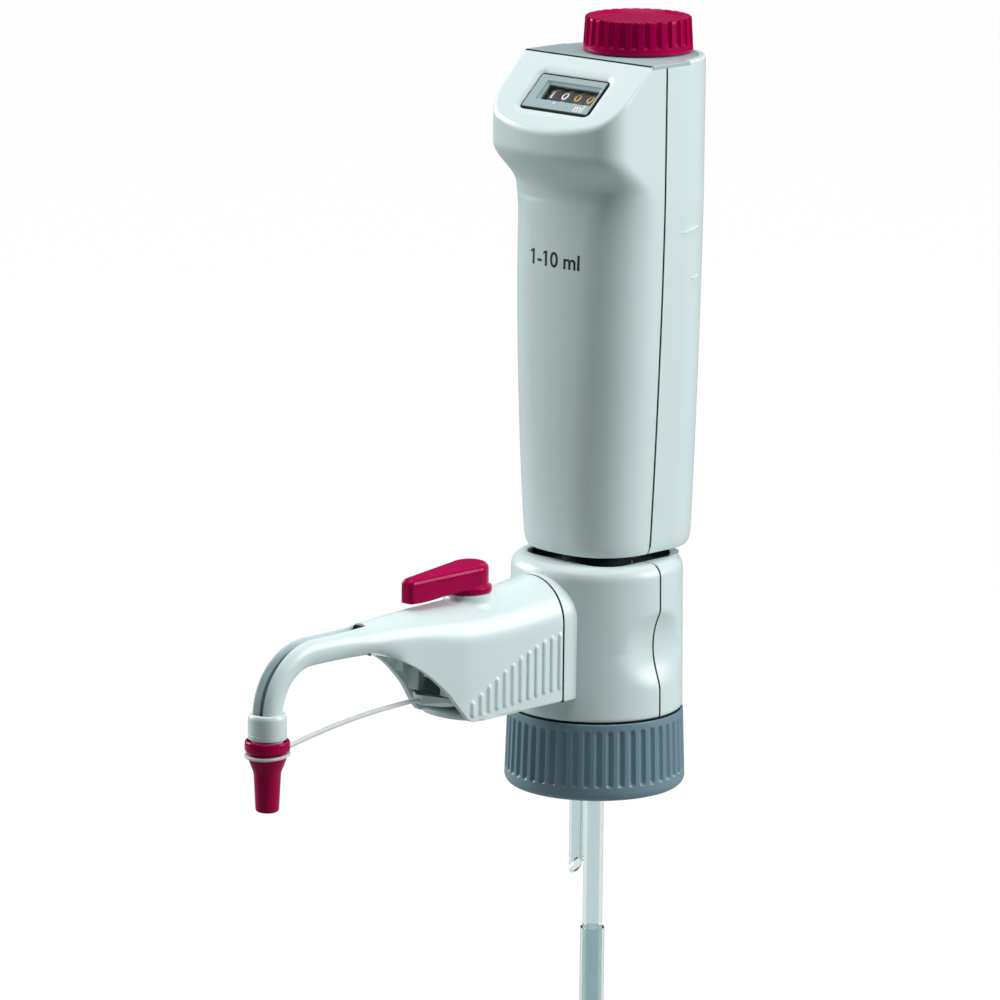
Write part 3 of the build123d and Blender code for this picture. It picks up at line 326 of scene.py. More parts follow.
floorMaterial = bpy.data.materials.new("studio floor, matt white")
floorMaterial.use_nodes = True
tree = floorMaterial.node_tree
tree.nodes["Principled BSDF"].inputs["Base Color"].default_value = (0.3, 0.325, 0.325, 1)
tree.nodes["Principled BSDF"].inputs["Roughness"].default_value = 0.9
rays = addNode(tree, "ShaderNodeLightPath")
clearRays = addNode(tree, "ShaderNodeMath", {"operation": "MAXIMUM"},
                    {0: rays.outputs["Is Camera Ray"], 1: rays.outputs["Is Transmission Ray"]})
lift = addNode(tree, "ShaderNodeMath", {"operation": "MULTIPLY"}, {0: clearRays.outputs[0], 1: 0.9})
glow = addNode(tree, "ShaderNodeEmission", {}, {"Color": (1, 1, 1, 1), "Strength": 1.1})
blend = addNode(tree, "ShaderNodeMixShader", {},
                {0: lift.outputs[0], 1: tree.nodes["Principled BSDF"].outputs[0], 2: glow.outputs[0]})
tree.links.new(blend.outputs[0], tree.nodes["Material Output"].inputs["Surface"])
floorMesh = bpy.data.meshes.new("floor")
half = 6.0
floorMesh.from_pydata([(-half, -half, 0), (half, -half, 0), (half, half, 0), (-half, half, 0)], [], [(0, 1, 2, 3)])
floorMesh.materials.append(floorMaterial)
floor = bpy.data.objects.new("floor", floorMesh)
scene.collection.objects.link(floor)
floor.location.z = studio["floorZ"] * mm
scene.view_settings.view_transform = "Standard"
print("studio ready")


# Housing: two ABS shells that meet at the sides
housing = {
    "foot": 73.5, "gripHeight": 110.5, "swell": 12.0, "headHeight": 25.65, "wall": 2.2, "seam": 0.4,
    "gripWidth": 21.4, "headWidth": 25.6, "gripFront": -19.5, "bulge": 1.4, "headFront": -28.1,
    "rearLow": 30.5, "rearHigh": 31.7, "slopeStart": -6.3, "slopeRise": 0.9, "coverThick": 1.2,
    "footRound": (1.2, 4.5), "edgeRound": 1.5,
}
gripTop = housing["foot"] + housing["gripHeight"]
headFull = gripTop + housing["swell"]
housingTop = headFull + housing["headHeight"]
slopeAngle = math.atan(housing["slopeRise"])
slopeUp = Vector((0, math.cos(slopeAngle), math.sin(slopeAngle)))
slopeOut = Vector((0, -math.sin(slopeAngle), math.cos(slopeAngle)))
slopeOrigin = Vector((0, housing["slopeStart"], housingTop))


def onSlope(x, along, depth=0.0):
    return slopeOrigin + Vector((x, 0, 0)) + slopeUp * along - slopeOut * depth


def halfOutline(z, inset):
    # one side of the plan at height z: front bow, corner, side, rear corner, rear bow, as (x, y) lists
    grown = 1 - (1 - min(max((z - housing["foot"]) / housing["gripHeight"], 0), 1)) ** 1.5
    along = min(max((z - housing["foot"]) / (housing["gripHeight"] - 4), 0), 1)
    squared = smooth(gripTop - 12, headFull, z)
    width = mix(housing["gripWidth"], housing["headWidth"], grown) - inset
    front = housing["gripFront"] - housing["bulge"] * max(math.sin(math.pi * along), 0) ** 0.6
    front += (housing["headFront"] - housing["gripFront"]) * smooth(gripTop - 1, headFull, z) + inset
    rear = mix(housing["rearLow"], housing["rearHigh"], grown) - inset
    flat = 4.4 + 8.0 * squared + 4.2 * grown
    angle = math.radians(9.0 + 8.2 * squared)
    corner = width - flat
    bow = corner + flat / math.sin(angle)
    cornerY = front + bow - (bow - corner) * math.cos(angle)
    frontRun = [(bow * math.sin(angle * i / 12), front + bow - bow * math.cos(angle * i / 12)) for i in range(13)]
    for i in range(1, 15):
        a = angle + (math.pi / 2 - angle) * i / 14
        frontRun.append((flat + corner * math.sin(a), cornerY - corner * math.cos(a)))
    seam = housing["seam"]
    breakY = mix(cornerY, -seam, 0.6263)
    frontRun += [(width, mix(cornerY, breakY, i / 4)) for i in range(1, 5)]
    frontRun += [(width, mix(breakY, -seam, i / 2)) for i in range(3)]
    flat = 1.4 + 1.2 * grown
    angle = math.radians(13.5 + 8.3 * grown)
    corner = width - flat
    bow = corner + flat / math.sin(angle)
    cornerY = rear - bow + (bow - corner) * math.cos(angle)
    rearRun = [(width, mix(seam, cornerY, i / 3)) for i in range(4)]
    turns = [0.04, 0.077, 0.077] + [0.077 + 0.923 * i / 15 for i in range(1, 16)]
    for share in turns:
        a = (math.pi / 2 - angle) * share
        rearRun.append((flat + corner * math.cos(a), cornerY + corner * math.sin(a)))
    for i in range(1, 9):
        a = angle * (1 - i / 8)
        rearRun.append((bow * math.sin(a), rear - bow + bow * math.cos(a)))
    return frontRun, rearRun


def footRows():
    across, tall = housing["footRound"]
    rows = []
    for i in range(9):
        a = math.pi / 2 * i / 8
        rows.append((housing["foot"] + tall * (1 - math.cos(a)), across * (1 - math.sin(a))))
    return rows


def levels(top):
    found = []
    z = housing["foot"] + housing["footRound"][1]
    slabFoot = top - housing["wall"] / math.cos(slopeAngle)
    while z < slabFoot - 0.5:
        found.append(z)
        z += 0.6 if gripTop - 14 < z < headFull + 2 else 2.5
    return found + [slabFoot, top - housing["coverThick"], top]


def mirrored(run):
    return [(-x, y) for x, y in reversed(run[1:])] + run


def slopeHeight(y, depth=0.0):
    return housingTop + housing["slopeRise"] * (y - housing["slopeStart"]) - depth / math.cos(slopeAngle)


def roundedLoop(centreX, centreAlong, width, height, radius, depth, steps=6):
    loop = []
    for quarter, (sx, sy) in enumerate(((1, -1), (1, 1), (-1, 1), (-1, -1))):
        for i in range(steps + 1):
            a = math.radians(-90 + 90 * quarter + 90 * i / steps)
            x = centreX + sx * (width / 2 - radius) + radius * math.cos(a)
            loop.append(onSlope(x, centreAlong + sy * (height / 2 - radius) + radius * math.sin(a), depth))
    return loop


def buildFrontShell():
    wall = housing["wall"]
    sideTop = housingTop - housing["coverThick"]
    heights = levels(housingTop)
    innerHeights = list(reversed([housing["foot"] + 1.0] + heights))
    columns = len(mirrored(halfOutline(100, 0)[0]))
    half = columns // 2
    breakAt = 13 + 14 + 4  # the doubled column where the slope meets the cover, counted from the middle
    onFace = [abs(i - half) < breakAt for i in range(columns)]
    verts = []
    rows = 0

    def addRow(points):
        nonlocal rows
        verts.extend(points)
        rows += 1

    for z in innerHeights:
        run = mirrored(halfOutline(z, wall)[0])
        ends = [min(z, slopeHeight(y, wall)) if onFace[i] else min(z, sideTop) for i, (x, y) in enumerate(run)]
        addRow([Vector((x, y, end)) for (x, y), end in zip(run, ends)])
    for z, inset in [(housing["foot"] + 0.3, wall), (housing["foot"], wall - 0.3)] + footRows():
        addRow([Vector((x, y, z)) for x, y in mirrored(halfOutline(z, inset)[0])])
    topRun = mirrored(halfOutline(housingTop, 0)[0])
    ends = []
    rounds = []
    for i, (x, y) in enumerate(topRun):
        reach = housing["edgeRound"] * mix(0.25, 1.0, smooth(-7, -19, y)) if onFace[i] else 0
        rounds.append(reach)
        ends.append(slopeHeight(y) - reach if onFace[i] else sideTop)
    for z in heights[1:]:
        run = mirrored(halfOutline(z, 0)[0])
        addRow([Vector((x, y, min(z, end))) for (x, y), end in zip(run, ends)])
    # soft edge round the sloping face
    inward = []
    for i, (x, y) in enumerate(topRun):
        before, after = topRun[max(i - 1, 0)], topRun[min(i + 1, columns - 1)]
        if (Vector(after) - Vector(before)).length < 1e-6 or i in (0, columns - 1):
            inward.append(Vector((-math.copysign(1, x), 0, 0)))
            continue
        a = Vector((before[0], before[1], slopeHeight(before[1])))
        b = Vector((after[0], after[1], slopeHeight(after[1])))
        inward.append(slopeOut.cross((b - a).normalized()).normalized())
    if inward[half].y < 0:
        inward = [-v for v in inward]
    for i in range(columns):
        if inward[i].x * topRun[i][0] > 0.2:
            inward[i] = -inward[i]
    for step in range(1, 9):
        t = step / 8
        row = []
        for i, (x, y) in enumerate(topRun):
            if not onFace[i]:
                row.append(Vector((x, y, sideTop)))
                continue
            tip = Vector((x, y, slopeHeight(y)))
            start = tip - Vector((0, 0, rounds[i]))
            end = tip + inward[i] * rounds[i]
            row.append(start * (1 - t) ** 2 + tip * 2 * t * (1 - t) + end * t * t)
        addRow(row)
    faces = stripFaces(rows, columns)
    first, last = 0, (rows - 1) * columns
    # flat tops beside the cover
    for i in list(range(0, half - breakAt)) + list(range(half + breakAt, columns - 1)):
        faces.append((first + i, first + i + 1, last + i + 1, last + i))
    # the faces that meet the rear shell
    for column in (0, columns - 1):
        faces.append([row * columns + column for row in range(rows)])
    # sloping face with the display's pocket, and its underside
    left, right = half - breakAt + 1, half + breakAt - 1
    display = {"along": -14.4, "width": 27.3, "height": 13.7, "corner": 1.7}
    loops = [roundedLoop(0, display["along"], display["width"] + grow, display["height"] + grow,
                         display["corner"] + grow / 2, depth)
             for grow, depth in ((5.2, 0.0), (4.0, 0.06), (2.6, 0.28), (1.2, 0.62), (0.5, 0.8), (0.1, 1.1),
                                  (0, 1.6), (0, wall))]
    count = len(loops[0])
    base = len(verts)
    for loop in loops:
        verts.extend(loop)
    for ring in range(len(loops) - 1):
        for i in range(count):
            a, b = base + ring * count + i, base + ring * count + (i + 1) % count
            faces.append((a, b, b + count, a + count))
    for outerIds, holeStart in (([last + i for i in range(left, right + 1)], base),
                                ([first + i for i in range(left, right + 1)], base + (len(loops) - 1) * count)):
        holeIds = [holeStart + i for i in range(count)]
        ids = outerIds + holeIds
        for triangle in tessellate_polygon([[verts[i] for i in outerIds], [verts[i] for i in holeIds]]):
            faces.append([ids[k] for k in triangle])
    # end of the sloping slab, against the cover
    faces.append([last + right + 1, last + right, last + left, last + left - 1,
                  left - 1, left, right, right + 1])
    makePiece("housing_front_shell", verts, faces, "plunger", whiteAbs, ["housing_front"])


buildFrontShell()


def buildRearShell():
    wall = housing["wall"]
    sideTop = housingTop - housing["coverThick"]
    heights = levels(housingTop)
    run = halfOutline(100, 0)[1]
    full = run + [(-x, y) for x, y in reversed(run[:-1])]
    columns = len(full)
    breakAt = 5  # last low column beside the cover; the next one is doubled on it
    high = [breakAt < i < columns - 1 - breakAt for i in range(columns)]
    verts = []
    rows = 0

    def plan(z, inset):
        side = halfOutline(z, inset)[1]
        return side + [(-x, y) for x, y in reversed(side[:-1])]

    for z in reversed([housing["foot"] + 1.0] + heights):
        verts += [Vector((x, y, min(z, housingTop if high[i] else sideTop)))
                  for i, (x, y) in enumerate(plan(z, wall))]
        rows += 1
    for z, inset in [(housing["foot"] + 0.3, wall), (housing["foot"], wall - 0.3)] + footRows():
        verts += [Vector((x, y, z)) for x, y in plan(z, inset)]
        rows += 1
    rim = 0.7
    for z in heights[1:]:
        verts += [Vector((x, y, min(z, housingTop - rim if high[i] else sideTop)))
                  for i, (x, y) in enumerate(plan(z, 0))]
        rows += 1
    for step in range(1, 6):
        a = math.pi / 2 * step / 5
        inset = rim * (1 - math.cos(a))
        z = housingTop - rim + rim * math.sin(a)
        rounded, plain = plan(housingTop, inset), plan(housingTop, 0)
        verts += [Vector((rounded[i][0], rounded[i][1], z)) if high[i]
                  else Vector((plain[i][0], plain[i][1], sideTop))
                  for i in range(columns)]
        rows += 1
    faces = stripFaces(rows, columns)
    last = (rows - 1) * columns
    for i in range(columns - 1):
        if i not in (breakAt, columns - 2 - breakAt):
            faces.append((i, i + 1, last + i + 1, last + i))
    for column in (0, columns - 1):
        faces.append([row * columns + column for row in range(rows)])
    for low, up in ((breakAt, breakAt + 1), (columns - 1 - breakAt, columns - 2 - breakAt)):
        faces.append([low, last + low, last + up, up])
    makePiece("housing_rear_shell", verts, faces, "plunger", whiteAbs, ["housing_rear"])


buildRearShell()
print("housing made")

def makeTurned(name, rows, turns, axisY, body, material, replaced=(), ring=False, sharpAngle=35, shape=None):
    # rows of (radius, height, share); shape(turn, height) cuts into the radius by that share
    verts = []
    for radius, z, share in rows:
        for turn in turns:
            reach = radius - (share * shape(turn, z) if shape and share else 0)
            verts.append((reach * math.cos(turn), axisY + reach * math.sin(turn), z))
    columns = len(turns)
    if ring:
        faces = stripFaces(len(rows), columns, closed=True)
        last = (len(rows) - 1) * columns
        faces += [(last + i, last + (i + 1) % columns, (i + 1) % columns, i) for i in range(columns)]
    else:
        faces = stripFaces(len(rows), columns, closed=True)
        faces += [list(range(columns)), [(len(rows) - 1) * columns + i for i in range(columns)]]
    return makePiece(name, verts, faces, body, material, replaced, sharpAngle)


def evenTurns(count):
    return [2 * math.pi * i / count for i in range(count)]


def groovedTurns(count, radius, offsets):
    # columns placed at the same offsets (mm) from the middle of every groove
    return [2 * math.pi * k / count + s / radius for k in range(count) for s in offsets]


def quarter(radiusStart, zStart, radiusEnd, zEnd, steps, bulgeOut=True, share=0):
    # quarter of an ellipse between two points, both ends left out of the list but the last
    rows = []
    for i in range(1, steps + 1):
        a = math.pi / 2 * i / steps
        across, along = (math.sin(a), 1 - math.cos(a)) if bulgeOut else (1 - math.cos(a), math.sin(a))
        rows.append((mix(radiusStart, radiusEnd, across), mix(zStart, zEnd, along), share))
    return rows


def curveThrough(points, at):
    # smooth curve through (place, value) pairs in rising order of place
    if at <= points[0][0]:
        return points[0][1]
    for i in range(len(points) - 1):
        if at <= points[i + 1][0]:
            break
    else:
        return points[-1][1]
    (a, p), (b, q) = points[i], points[i + 1]
    before, after = points[max(i - 1, 0)], points[min(i + 2, len(points) - 1)]
    m = (q - before[1]) / (b - before[0])
    n = (after[1] - p) / (after[0] - a)
    t, d = (at - a) / (b - a), b - a
    return ((2 * t**3 - 3 * t**2 + 1) * p + (t**3 - 2 * t**2 + t) * d * m
            + (3 * t**2 - 2 * t**3) * q + (t**3 - t**2) * d * n)


# Volume knob: fluted grip over a plain rim, with a dished top
knob = {"foot": 221.95, "height": 10.35, "axisY": 15.2, "lowRadius": 16.5, "topRadius": 15.95,
        "flutes": 28, "fluteHalf": 1.0, "fluteDepth": 1.0, "fluteFoot": 1.9}


def buildKnob():
    foot = knob["foot"]

    def flute(turn, z):
        pitch = 2 * math.pi / knob["flutes"]
        aside = ((turn / pitch + 0.5) % 1 - 0.5) * pitch * 16.0
        rise = min(max((z - foot - knob["fluteFoot"]) / 1.3, 0), 1)
        opened = math.sqrt(1 - (1 - rise) ** 2)
        return knob["fluteDepth"] * opened * max(0, 1 - (aside / knob["fluteHalf"]) ** 2) ** 0.7

    def radiusAt(up):
        return mix(knob["lowRadius"], knob["topRadius"], up / (knob["height"] - 1.2))

    rows = [(15.6, foot, 0)] + quarter(16.0, foot, 16.46, foot + 0.5, 3, bulgeOut=True)
    for up in (1.0, 1.6, 1.9, 1.95, 2.05, 2.2, 2.4, 2.65, 2.95, 3.2, 4.0, 5.0, 6.0, 7.0, 8.0, 8.7, 9.0):
        rows.append((radiusAt(up), foot + up, 1 if up >= 1.9 else 0))
    edge = radiusAt(9.5)
    for back, up, share in ((0.0, 9.5, 1), (0.05, 9.8, 1), (0.18, 10.05, 1), (0.42, 10.25, 0.95), (0.75, 10.34, 0.75),
                            (1.2, 10.35, 0.35), (1.7, 10.33, 0), (2.1, 10.2, 0), (2.35, 9.95, 0), (2.6, 9.75, 0),
                            (3.4, 9.68, 0), (8.0, 9.65, 0), (13.0, 9.65, 0)):
        rows.append((edge - back, foot + up, share))
    offsets = (-1.65, -1.2, -1.0, -0.93, -0.8, -0.6, -0.32, 0, 0.32, 0.6, 0.8, 0.93, 1.0, 1.2)
    makeTurned("knob_body", rows, groovedTurns(knob["flutes"], 16.0, offsets), knob["axisY"], "knob", crimsonPbt,
               ["volume_knob"], shape=flute)


buildKnob()


# Collar: grooved grip above a plain band, GL45 thread inside
collar = {"lowRadius": 27.3, "topRadius": 26.6, "round": 2.8, "grooves": 48, "grooveHalf": 1.2,
          "grooveDepth": 0.8, "grooveLow": 4.2, "grooveTop": 22.0, "bore": 22.65, "flangeZ": 20.0, "neck": 14.95,
          "threadPitch": 4.0, "threadDepth": 0.85}


def buildCollar():
    half = collar["grooveHalf"]

    def groove(turn, z):
        pitch = 2 * math.pi / collar["grooves"]
        aside = ((turn / pitch + 0.5) % 1 - 0.5) * pitch * 27.0
        beyond = max(collar["grooveLow"] + half - z, z - collar["grooveTop"] + half, 0)
        away = math.hypot(aside, beyond) / half
        return collar["grooveDepth"] * (0.5 + 0.5 * math.cos(math.pi * min(away, 1))) ** 0.7

    def radiusAt(z):
        return mix(collar["lowRadius"], collar["topRadius"], (z - collar["round"]) / 20.6)

    rows = [(24.5, 0, 0)] + quarter(24.5, 0, 27.3, 2.8, 7)
    for z in (3.6, 4.15, 4.22, 4.3, 4.42, 4.6, 4.85, 5.18, 5.6, 7.5, 10, 13, 16, 19, 20.6, 21.02, 21.35, 21.6, 21.78,
              21.9, 21.98, 22.05, 22.8):
        rows.append((radiusAt(z), z, 1))
    rows += [(26.6, 23.3, 0), (26.52, 23.6, 0), (26.25, 23.8, 0), (collar["neck"], 23.8, 0),
             (collar["neck"], collar["flangeZ"], 0), (collar["bore"], collar["flangeZ"], 0), (collar["bore"], 0.6, 0),
             (23.2, 0.0, 0)]
    offsets = (-1.75, -1.35, -1.2, -1.08, -0.92, -0.72, -0.4, 0, 0.4, 0.72, 0.92, 1.08, 1.2, 1.35)
    makeTurned("collar_body", rows, groovedTurns(collar["grooves"], 27.0, offsets), 0, "collar", slatePp,
               ["thread_collar"], ring=True, shape=groove)
    # thread ridge: a flat-topped section carried round the bore
    verts, faces = [], []
    steps = 200
    for i in range(steps + 1):
        turn = 2 * math.pi * 2.6 * i / steps
        z = 2.6 + collar["threadPitch"] * turn / (2 * math.pi)
        deep = collar["threadDepth"] * min(1, 8 * min(i, steps - i) / steps + 0.02)
        for back, up in ((-0.03, -1.1), (deep, -0.35), (deep, 0.35), (-0.03, 1.1)):
            verts.append(((collar["bore"] - back) * math.cos(turn), (collar["bore"] - back) * math.sin(turn), z + up))
    for i in range(steps):
        for k in range(4):
            a, b = 4 * i + k, 4 * i + (k + 1) % 4
            faces.append((a, b, b + 4, a + 4))
    faces += [(0, 1, 2, 3), tuple(4 * steps + k for k in range(4))]
    makePiece("collar_thread", verts, faces, "collar", slatePp, weighted=False)


buildCollar()
print("knob and collar made")


# Valve block: two shells with thumb hollows, an open top and the arch that carries the arm
block = {"foot": 24.2, "height": 46.85, "lowRadius": 26.4, "topRadius": 25.9, "wall": 2.2, "footRound": 1.2,
         "shoulder": 3.9, "bore": 18.0, "recess": (37.0, -15.6, 20.6, 8.0), "hollowRadius": 21.0,
         "hollowDepth": 2.65, "hollowUp": 21.9, "hollowSoft": (0.5, 1.9), "seam": 0.36,
         "archWidth": 13.1, "archTop": 68.5, "archFoot": 31.5}


def recessReach(turn):
    # distance from the axis to the edge of the rounded opening in the top
    width, front, rear, corner = block["recess"]
    middle, longHalf = (front + rear) / 2, (rear - front) / 2
    low, high = 5.0, 40.0
    for _ in range(30):
        reach = (low + high) / 2
        x, y = abs(reach * math.cos(turn)), abs(reach * math.sin(turn) - middle)
        dx, dy = max(x - width / 2 + corner, 0), max(y - longHalf + corner, 0)
        inside = x < width / 2 and y < longHalf and math.hypot(dx, dy) < corner
        low, high = (reach, high) if inside else (low, reach)
    return low


def hollowed(x, z):
    # soft-edged thumb hollow: a level cylinder pressed into each side
    middle = block["foot"] + block["hollowUp"]
    up = abs(z - middle)
    if up > 20:
        return x
    soft = block["hollowSoft"][0 if z > middle else 1]
    hollowReach = math.sqrt(block["hollowRadius"]**2 - up * up)
    face = block["topRadius"] + block["hollowRadius"] - block["hollowDepth"] - hollowReach
    overlap = max(soft - abs(abs(x) - face), 0) / soft
    return math.copysign(min(abs(x), face) - overlap * overlap * soft / 4, x)


def buildBlockShell(name, side, replaced):
    foot, top, wall = block["foot"], block["foot"] + block["height"], block["wall"]
    fine = [i / 44 for i in range(45)]
    turns = [math.pi * share for share in fine]
    verts = []
    rounded, shoulder = block["footRound"], block["shoulder"]
    outer = [(block["bore"], foot, False), (block["lowRadius"] - rounded, foot, False)]
    outer += [(r, z, False) for r, z, share in
              quarter(block["lowRadius"] - rounded, foot, block["lowRadius"], foot + rounded, 4)]
    side0, side1 = foot + rounded, top - shoulder
    for i in range(1, 53):
        z = mix(side0, side1, i / 52)
        outer.append((mix(block["lowRadius"], block["topRadius"], i / 52), z, True))
    outer += [(r, z, False) for r, z, share in
              quarter(block["topRadius"], top - shoulder, block["topRadius"] - shoulder, top, 7, bulgeOut=False)]
    inner = [(block["topRadius"] - wall - shoulder, top - wall), (block["topRadius"] - wall, top - wall - shoulder),
             (block["topRadius"] - wall, top - wall - shoulder - 6), (block["topRadius"] - wall - 3, foot + 34),
             (block["topRadius"] - wall - 3, foot + 6), (block["topRadius"] - wall, foot + 4),
             (block["topRadius"] - wall, foot + wall), (block["bore"], foot + wall)]
    for turn in turns:
        c, s = math.cos(turn), math.sin(turn)
        reach = recessReach(turn * side)
        points = [(hollowed(r * c, z) if cut else r * c, r * s, z) for r, z, cut in outer]
        edge = 0.5
        for k in range(4):
            a = math.pi / 2 * k / 3
            r = reach + edge * (1 - math.sin(a))
            points.append((r * c, r * s, top - edge * (1 - math.cos(a))))
        points.append((reach * c, reach * s, top - wall))
        widened = [(max(r, reach + 0.02) if z > top - 6 else r, z) for r, z in inner]
        points += [(r * c, r * s, z) for r, z in widened]
        for x, y, z in points:
            verts.append((x, side * max(y, 0) + side * block["seam"] * max(0, 1 - y / 6), z))
    columns = len(points)
    rows = len(turns)
    faces = stripFaces(rows, columns, closed=True)
    faces += [list(range(columns)), [(rows - 1) * columns + i for i in range(columns)]]
    makePiece(name, verts, faces, "valve_block", whiteAbs, replaced, sharpAngle=40)


buildBlockShell("block_front_shell", -1, ["valve_block_front"])
buildBlockShell("block_rear_shell", 1, ["valve_block_rear"])


def archLoop(width, top, foot, corner=0.0, sideSteps=12, topSteps=28):
    # closed arch: up the right side, over the top, down the left and back along the foot
    loop = []
    for i in range(sideSteps + 1):
        loop.append((width, mix(foot + corner, top - width, i / sideSteps)))
    for i in range(1, topSteps):
        a = math.pi * i / topSteps
        loop.append((width * math.cos(a), top - width + width * math.sin(a)))
    for i in range(sideSteps + 1):
        loop.append((-width, mix(top - width, foot + corner, i / sideSteps)))
    if corner:
        arcTurns = [math.radians(30 * k) for k in (1, 2, 3)]
        loop += [(-width + corner * (1 - math.cos(t)), foot + corner * (1 - math.sin(t))) for t in arcTurns]
        loop += [(width - corner * (1 - math.cos(t)), foot + corner * (1 - math.sin(t))) for t in arcTurns[::-1]]
    return loop


def buildArchFlange():
    verts = []
    rows = [(-20.0, 0.0), (-27.5, 0.0), (-27.85, 0.15), (-28.0, 0.5), (-28.0, 3.0)]
    for y, inset in rows:
        loop = archLoop(block["archWidth"] - inset, block["archTop"] - inset, block["archFoot"] + inset, 0.5)
        verts += [(x, y, z) for x, z in loop]
    columns = len(loop)
    faces = stripFaces(len(rows), columns, closed=True)
    faces += [list(range(columns)), [(len(rows) - 1) * columns + i for i in range(columns)]]
    makePiece("arch_flange", verts, faces, "valve_block", whiteAbs)


buildArchFlange()


def buildTray():
    # dark tray that lines the opening round the foot of the guide
    foot, top = block["foot"] + block["height"] - 4.6, block["foot"] + block["height"] - 0.25
    turns = evenTurns(96)
    verts = []
    for inset, z in ((None, foot), (None, foot + 1.5), (1.3, foot + 1.5), (1.2, top - 0.1), (1.05, top), (0.25, top),
                     (0.12, top - 0.12), (0.12, foot)):
        for turn in turns:
            reach = 10.95 if inset is None else recessReach(turn) - inset
            verts.append((reach * math.cos(turn), reach * math.sin(turn), z))
    faces = stripFaces(8, 96, closed=True)
    faces += [(7 * 96 + i, 7 * 96 + (i + 1) % 96, (i + 1) % 96, i) for i in range(96)]
    makePiece("tray_liner", verts, faces, "valve_block", darkPp, ["recess_tray"])


buildTray()
# black ring of painted shade in the gap between the collar and the block
shadeRingRows = [(25.2, 23.2, 0), (26.05, 23.2, 0), (26.05, 25.4, 0), (25.2, 25.4, 0)]
makeTurned("gap_shade_ring", shadeRingRows, evenTurns(96), 0, "valve_block", blackPomAndGapShade, ring=True)


def buildSeal(name, rows, side, body, half=0.3, deep=1.6, back=0.1):
    # black strip of painted shade that draws the dark line between two shells; rows are (x of the surface, z)
    verts = []
    for x, z in rows:
        for dx, y in ((back, -half), (back, half), (deep, half), (deep, -half)):
            verts.append((side * (x - dx), y, z))
    faces = stripFaces(len(rows), 4, closed=True) + [(0, 1, 2, 3), tuple(4 * (len(rows) - 1) + k for k in range(4))]
    makePiece(name, verts, faces, body, blackPomAndGapShade, weighted=False)


def sealRows(low, high, steps, surface):
    return [(surface(mix(low, high, i / steps)), mix(low, high, i / steps)) for i in range(steps + 1)]


def blockSide(z):
    low, high = block["foot"] + block["footRound"], block["foot"] + block["height"] - block["shoulder"]
    share = min(max((z - low) / (high - low), 0), 1)
    inset = 0
    if z > high:
        inset = block["shoulder"] - math.sqrt(max(block["shoulder"] ** 2 - (z - high) ** 2, 0))
    return hollowed(mix(block["lowRadius"], block["topRadius"], share), z) - inset


def gripSide(z):
    grown = 1 - (1 - min(max((z - housing["foot"]) / housing["gripHeight"], 0), 1)) ** 1.5
    return mix(housing["gripWidth"], housing["headWidth"], grown)


# black strips of painted shade along the parting lines of the block and the housing
for side, hand in ((1, "right"), (-1, "left")):
    buildSeal(f"block_gap_shade_{hand}",
              sealRows(block["foot"] + 0.6, block["foot"] + block["height"] - 0.7, 60, blockSide),
              side, "valve_block")
    buildSeal(f"housing_gap_shade_{hand}",
              sealRows(housing["foot"] + 2.2, housingTop - 1.3, 60, gripSide), side, "plunger")
print("valve block made")


# Discharge arm: a thin-walled arch, open underneath towards the nozzle, that narrows to a grooved swan neck
arm = {
    "start": -28.5, "end": -101.0, "wall": 1.8, "width": [(28, 13.1), (47, 12.5), (66, 11.6), (74, 10.2),
              (84, 8.3), (94, 6.9), (101, 6.1), (107, 5.3), (120, 4.35)],
    "top": [(28, 68.5), (38, 67.6), (47, 66.8), (56, 66.3), (68, 66.15), (83, 66.0),
              (101, 65.2), (110, 64.9), (122, 64.85)],
    "rim": [(28, 31.5), (64.5, 31.5), (66.5, 32.1), (70, 36.0), (74.4, 41.6), (83.8, 49.7),
              (92, 54.0), (99.0, 56.1), (102, 56.2)],
    "ribs": 12, "ribFirst": -29.9, "ribPitch": 3.25, "ribHalf": 0.88, "ribHeight": 0.6, "ribFoot": 35.7,
    "ribTop": 52.9, "ribDrop": 0.25,
}


def ribRise(y, z):
    # raised bars with round ends, each a little shorter than the one behind it
    index = round((arm["ribFirst"] - y) / arm["ribPitch"])
    if index < 0 or index >= arm["ribs"]:
        return 0
    low = arm["ribFoot"] - arm["ribDrop"] * index + arm["ribHalf"]
    ribShare = (index / (arm["ribs"] - 1)) ** 1.5
    high = arm["ribTop"] - (arm["ribTop"] - arm["ribFoot"] - 2.2) * ribShare - arm["ribHalf"]
    beyond = max(low - z, z - high, 0)
    away = math.hypot(y - arm["ribFirst"] + index * arm["ribPitch"], beyond) / arm["ribHalf"]
    return arm["ribHeight"] * math.sqrt(max(0, 1 - away * away))


def armSection(y, inset, sideSteps, topSteps, ribbed):
    out = -y
    width = curveThrough(arm["width"], out) - inset
    top = curveThrough(arm["top"], out) - inset
    foot = curveThrough(arm["rim"], out)
    spring = top - width
    points = []
    for i in range(sideSteps + 1):
        z = mix(foot, spring, i / sideSteps)
        push = ribRise(y, z) if ribbed else 0
        tuck = 0.7 * (1 - math.sqrt(max(0, 1 - (1 - min((z - foot) / 0.9, 1)) ** 2))) if ribbed and out < 63 else 0
        closing = smooth(88, 101, out) if ribbed else 0
        corner = min(width, (top - foot) / 2) * 0.98
        if closing and z < foot + corner:
            tuck = closing * (corner - math.sqrt(max(0, corner * corner - (foot + corner - z) ** 2)))
        points.append((width + push - tuck, z))
    for i in range(1, topSteps):
        a = math.pi * i / topSteps
        points.append((width * math.cos(a), spring + width * math.sin(a)))
    return points + [(-x, z) for x, z in reversed(points[:sideSteps + 1])]


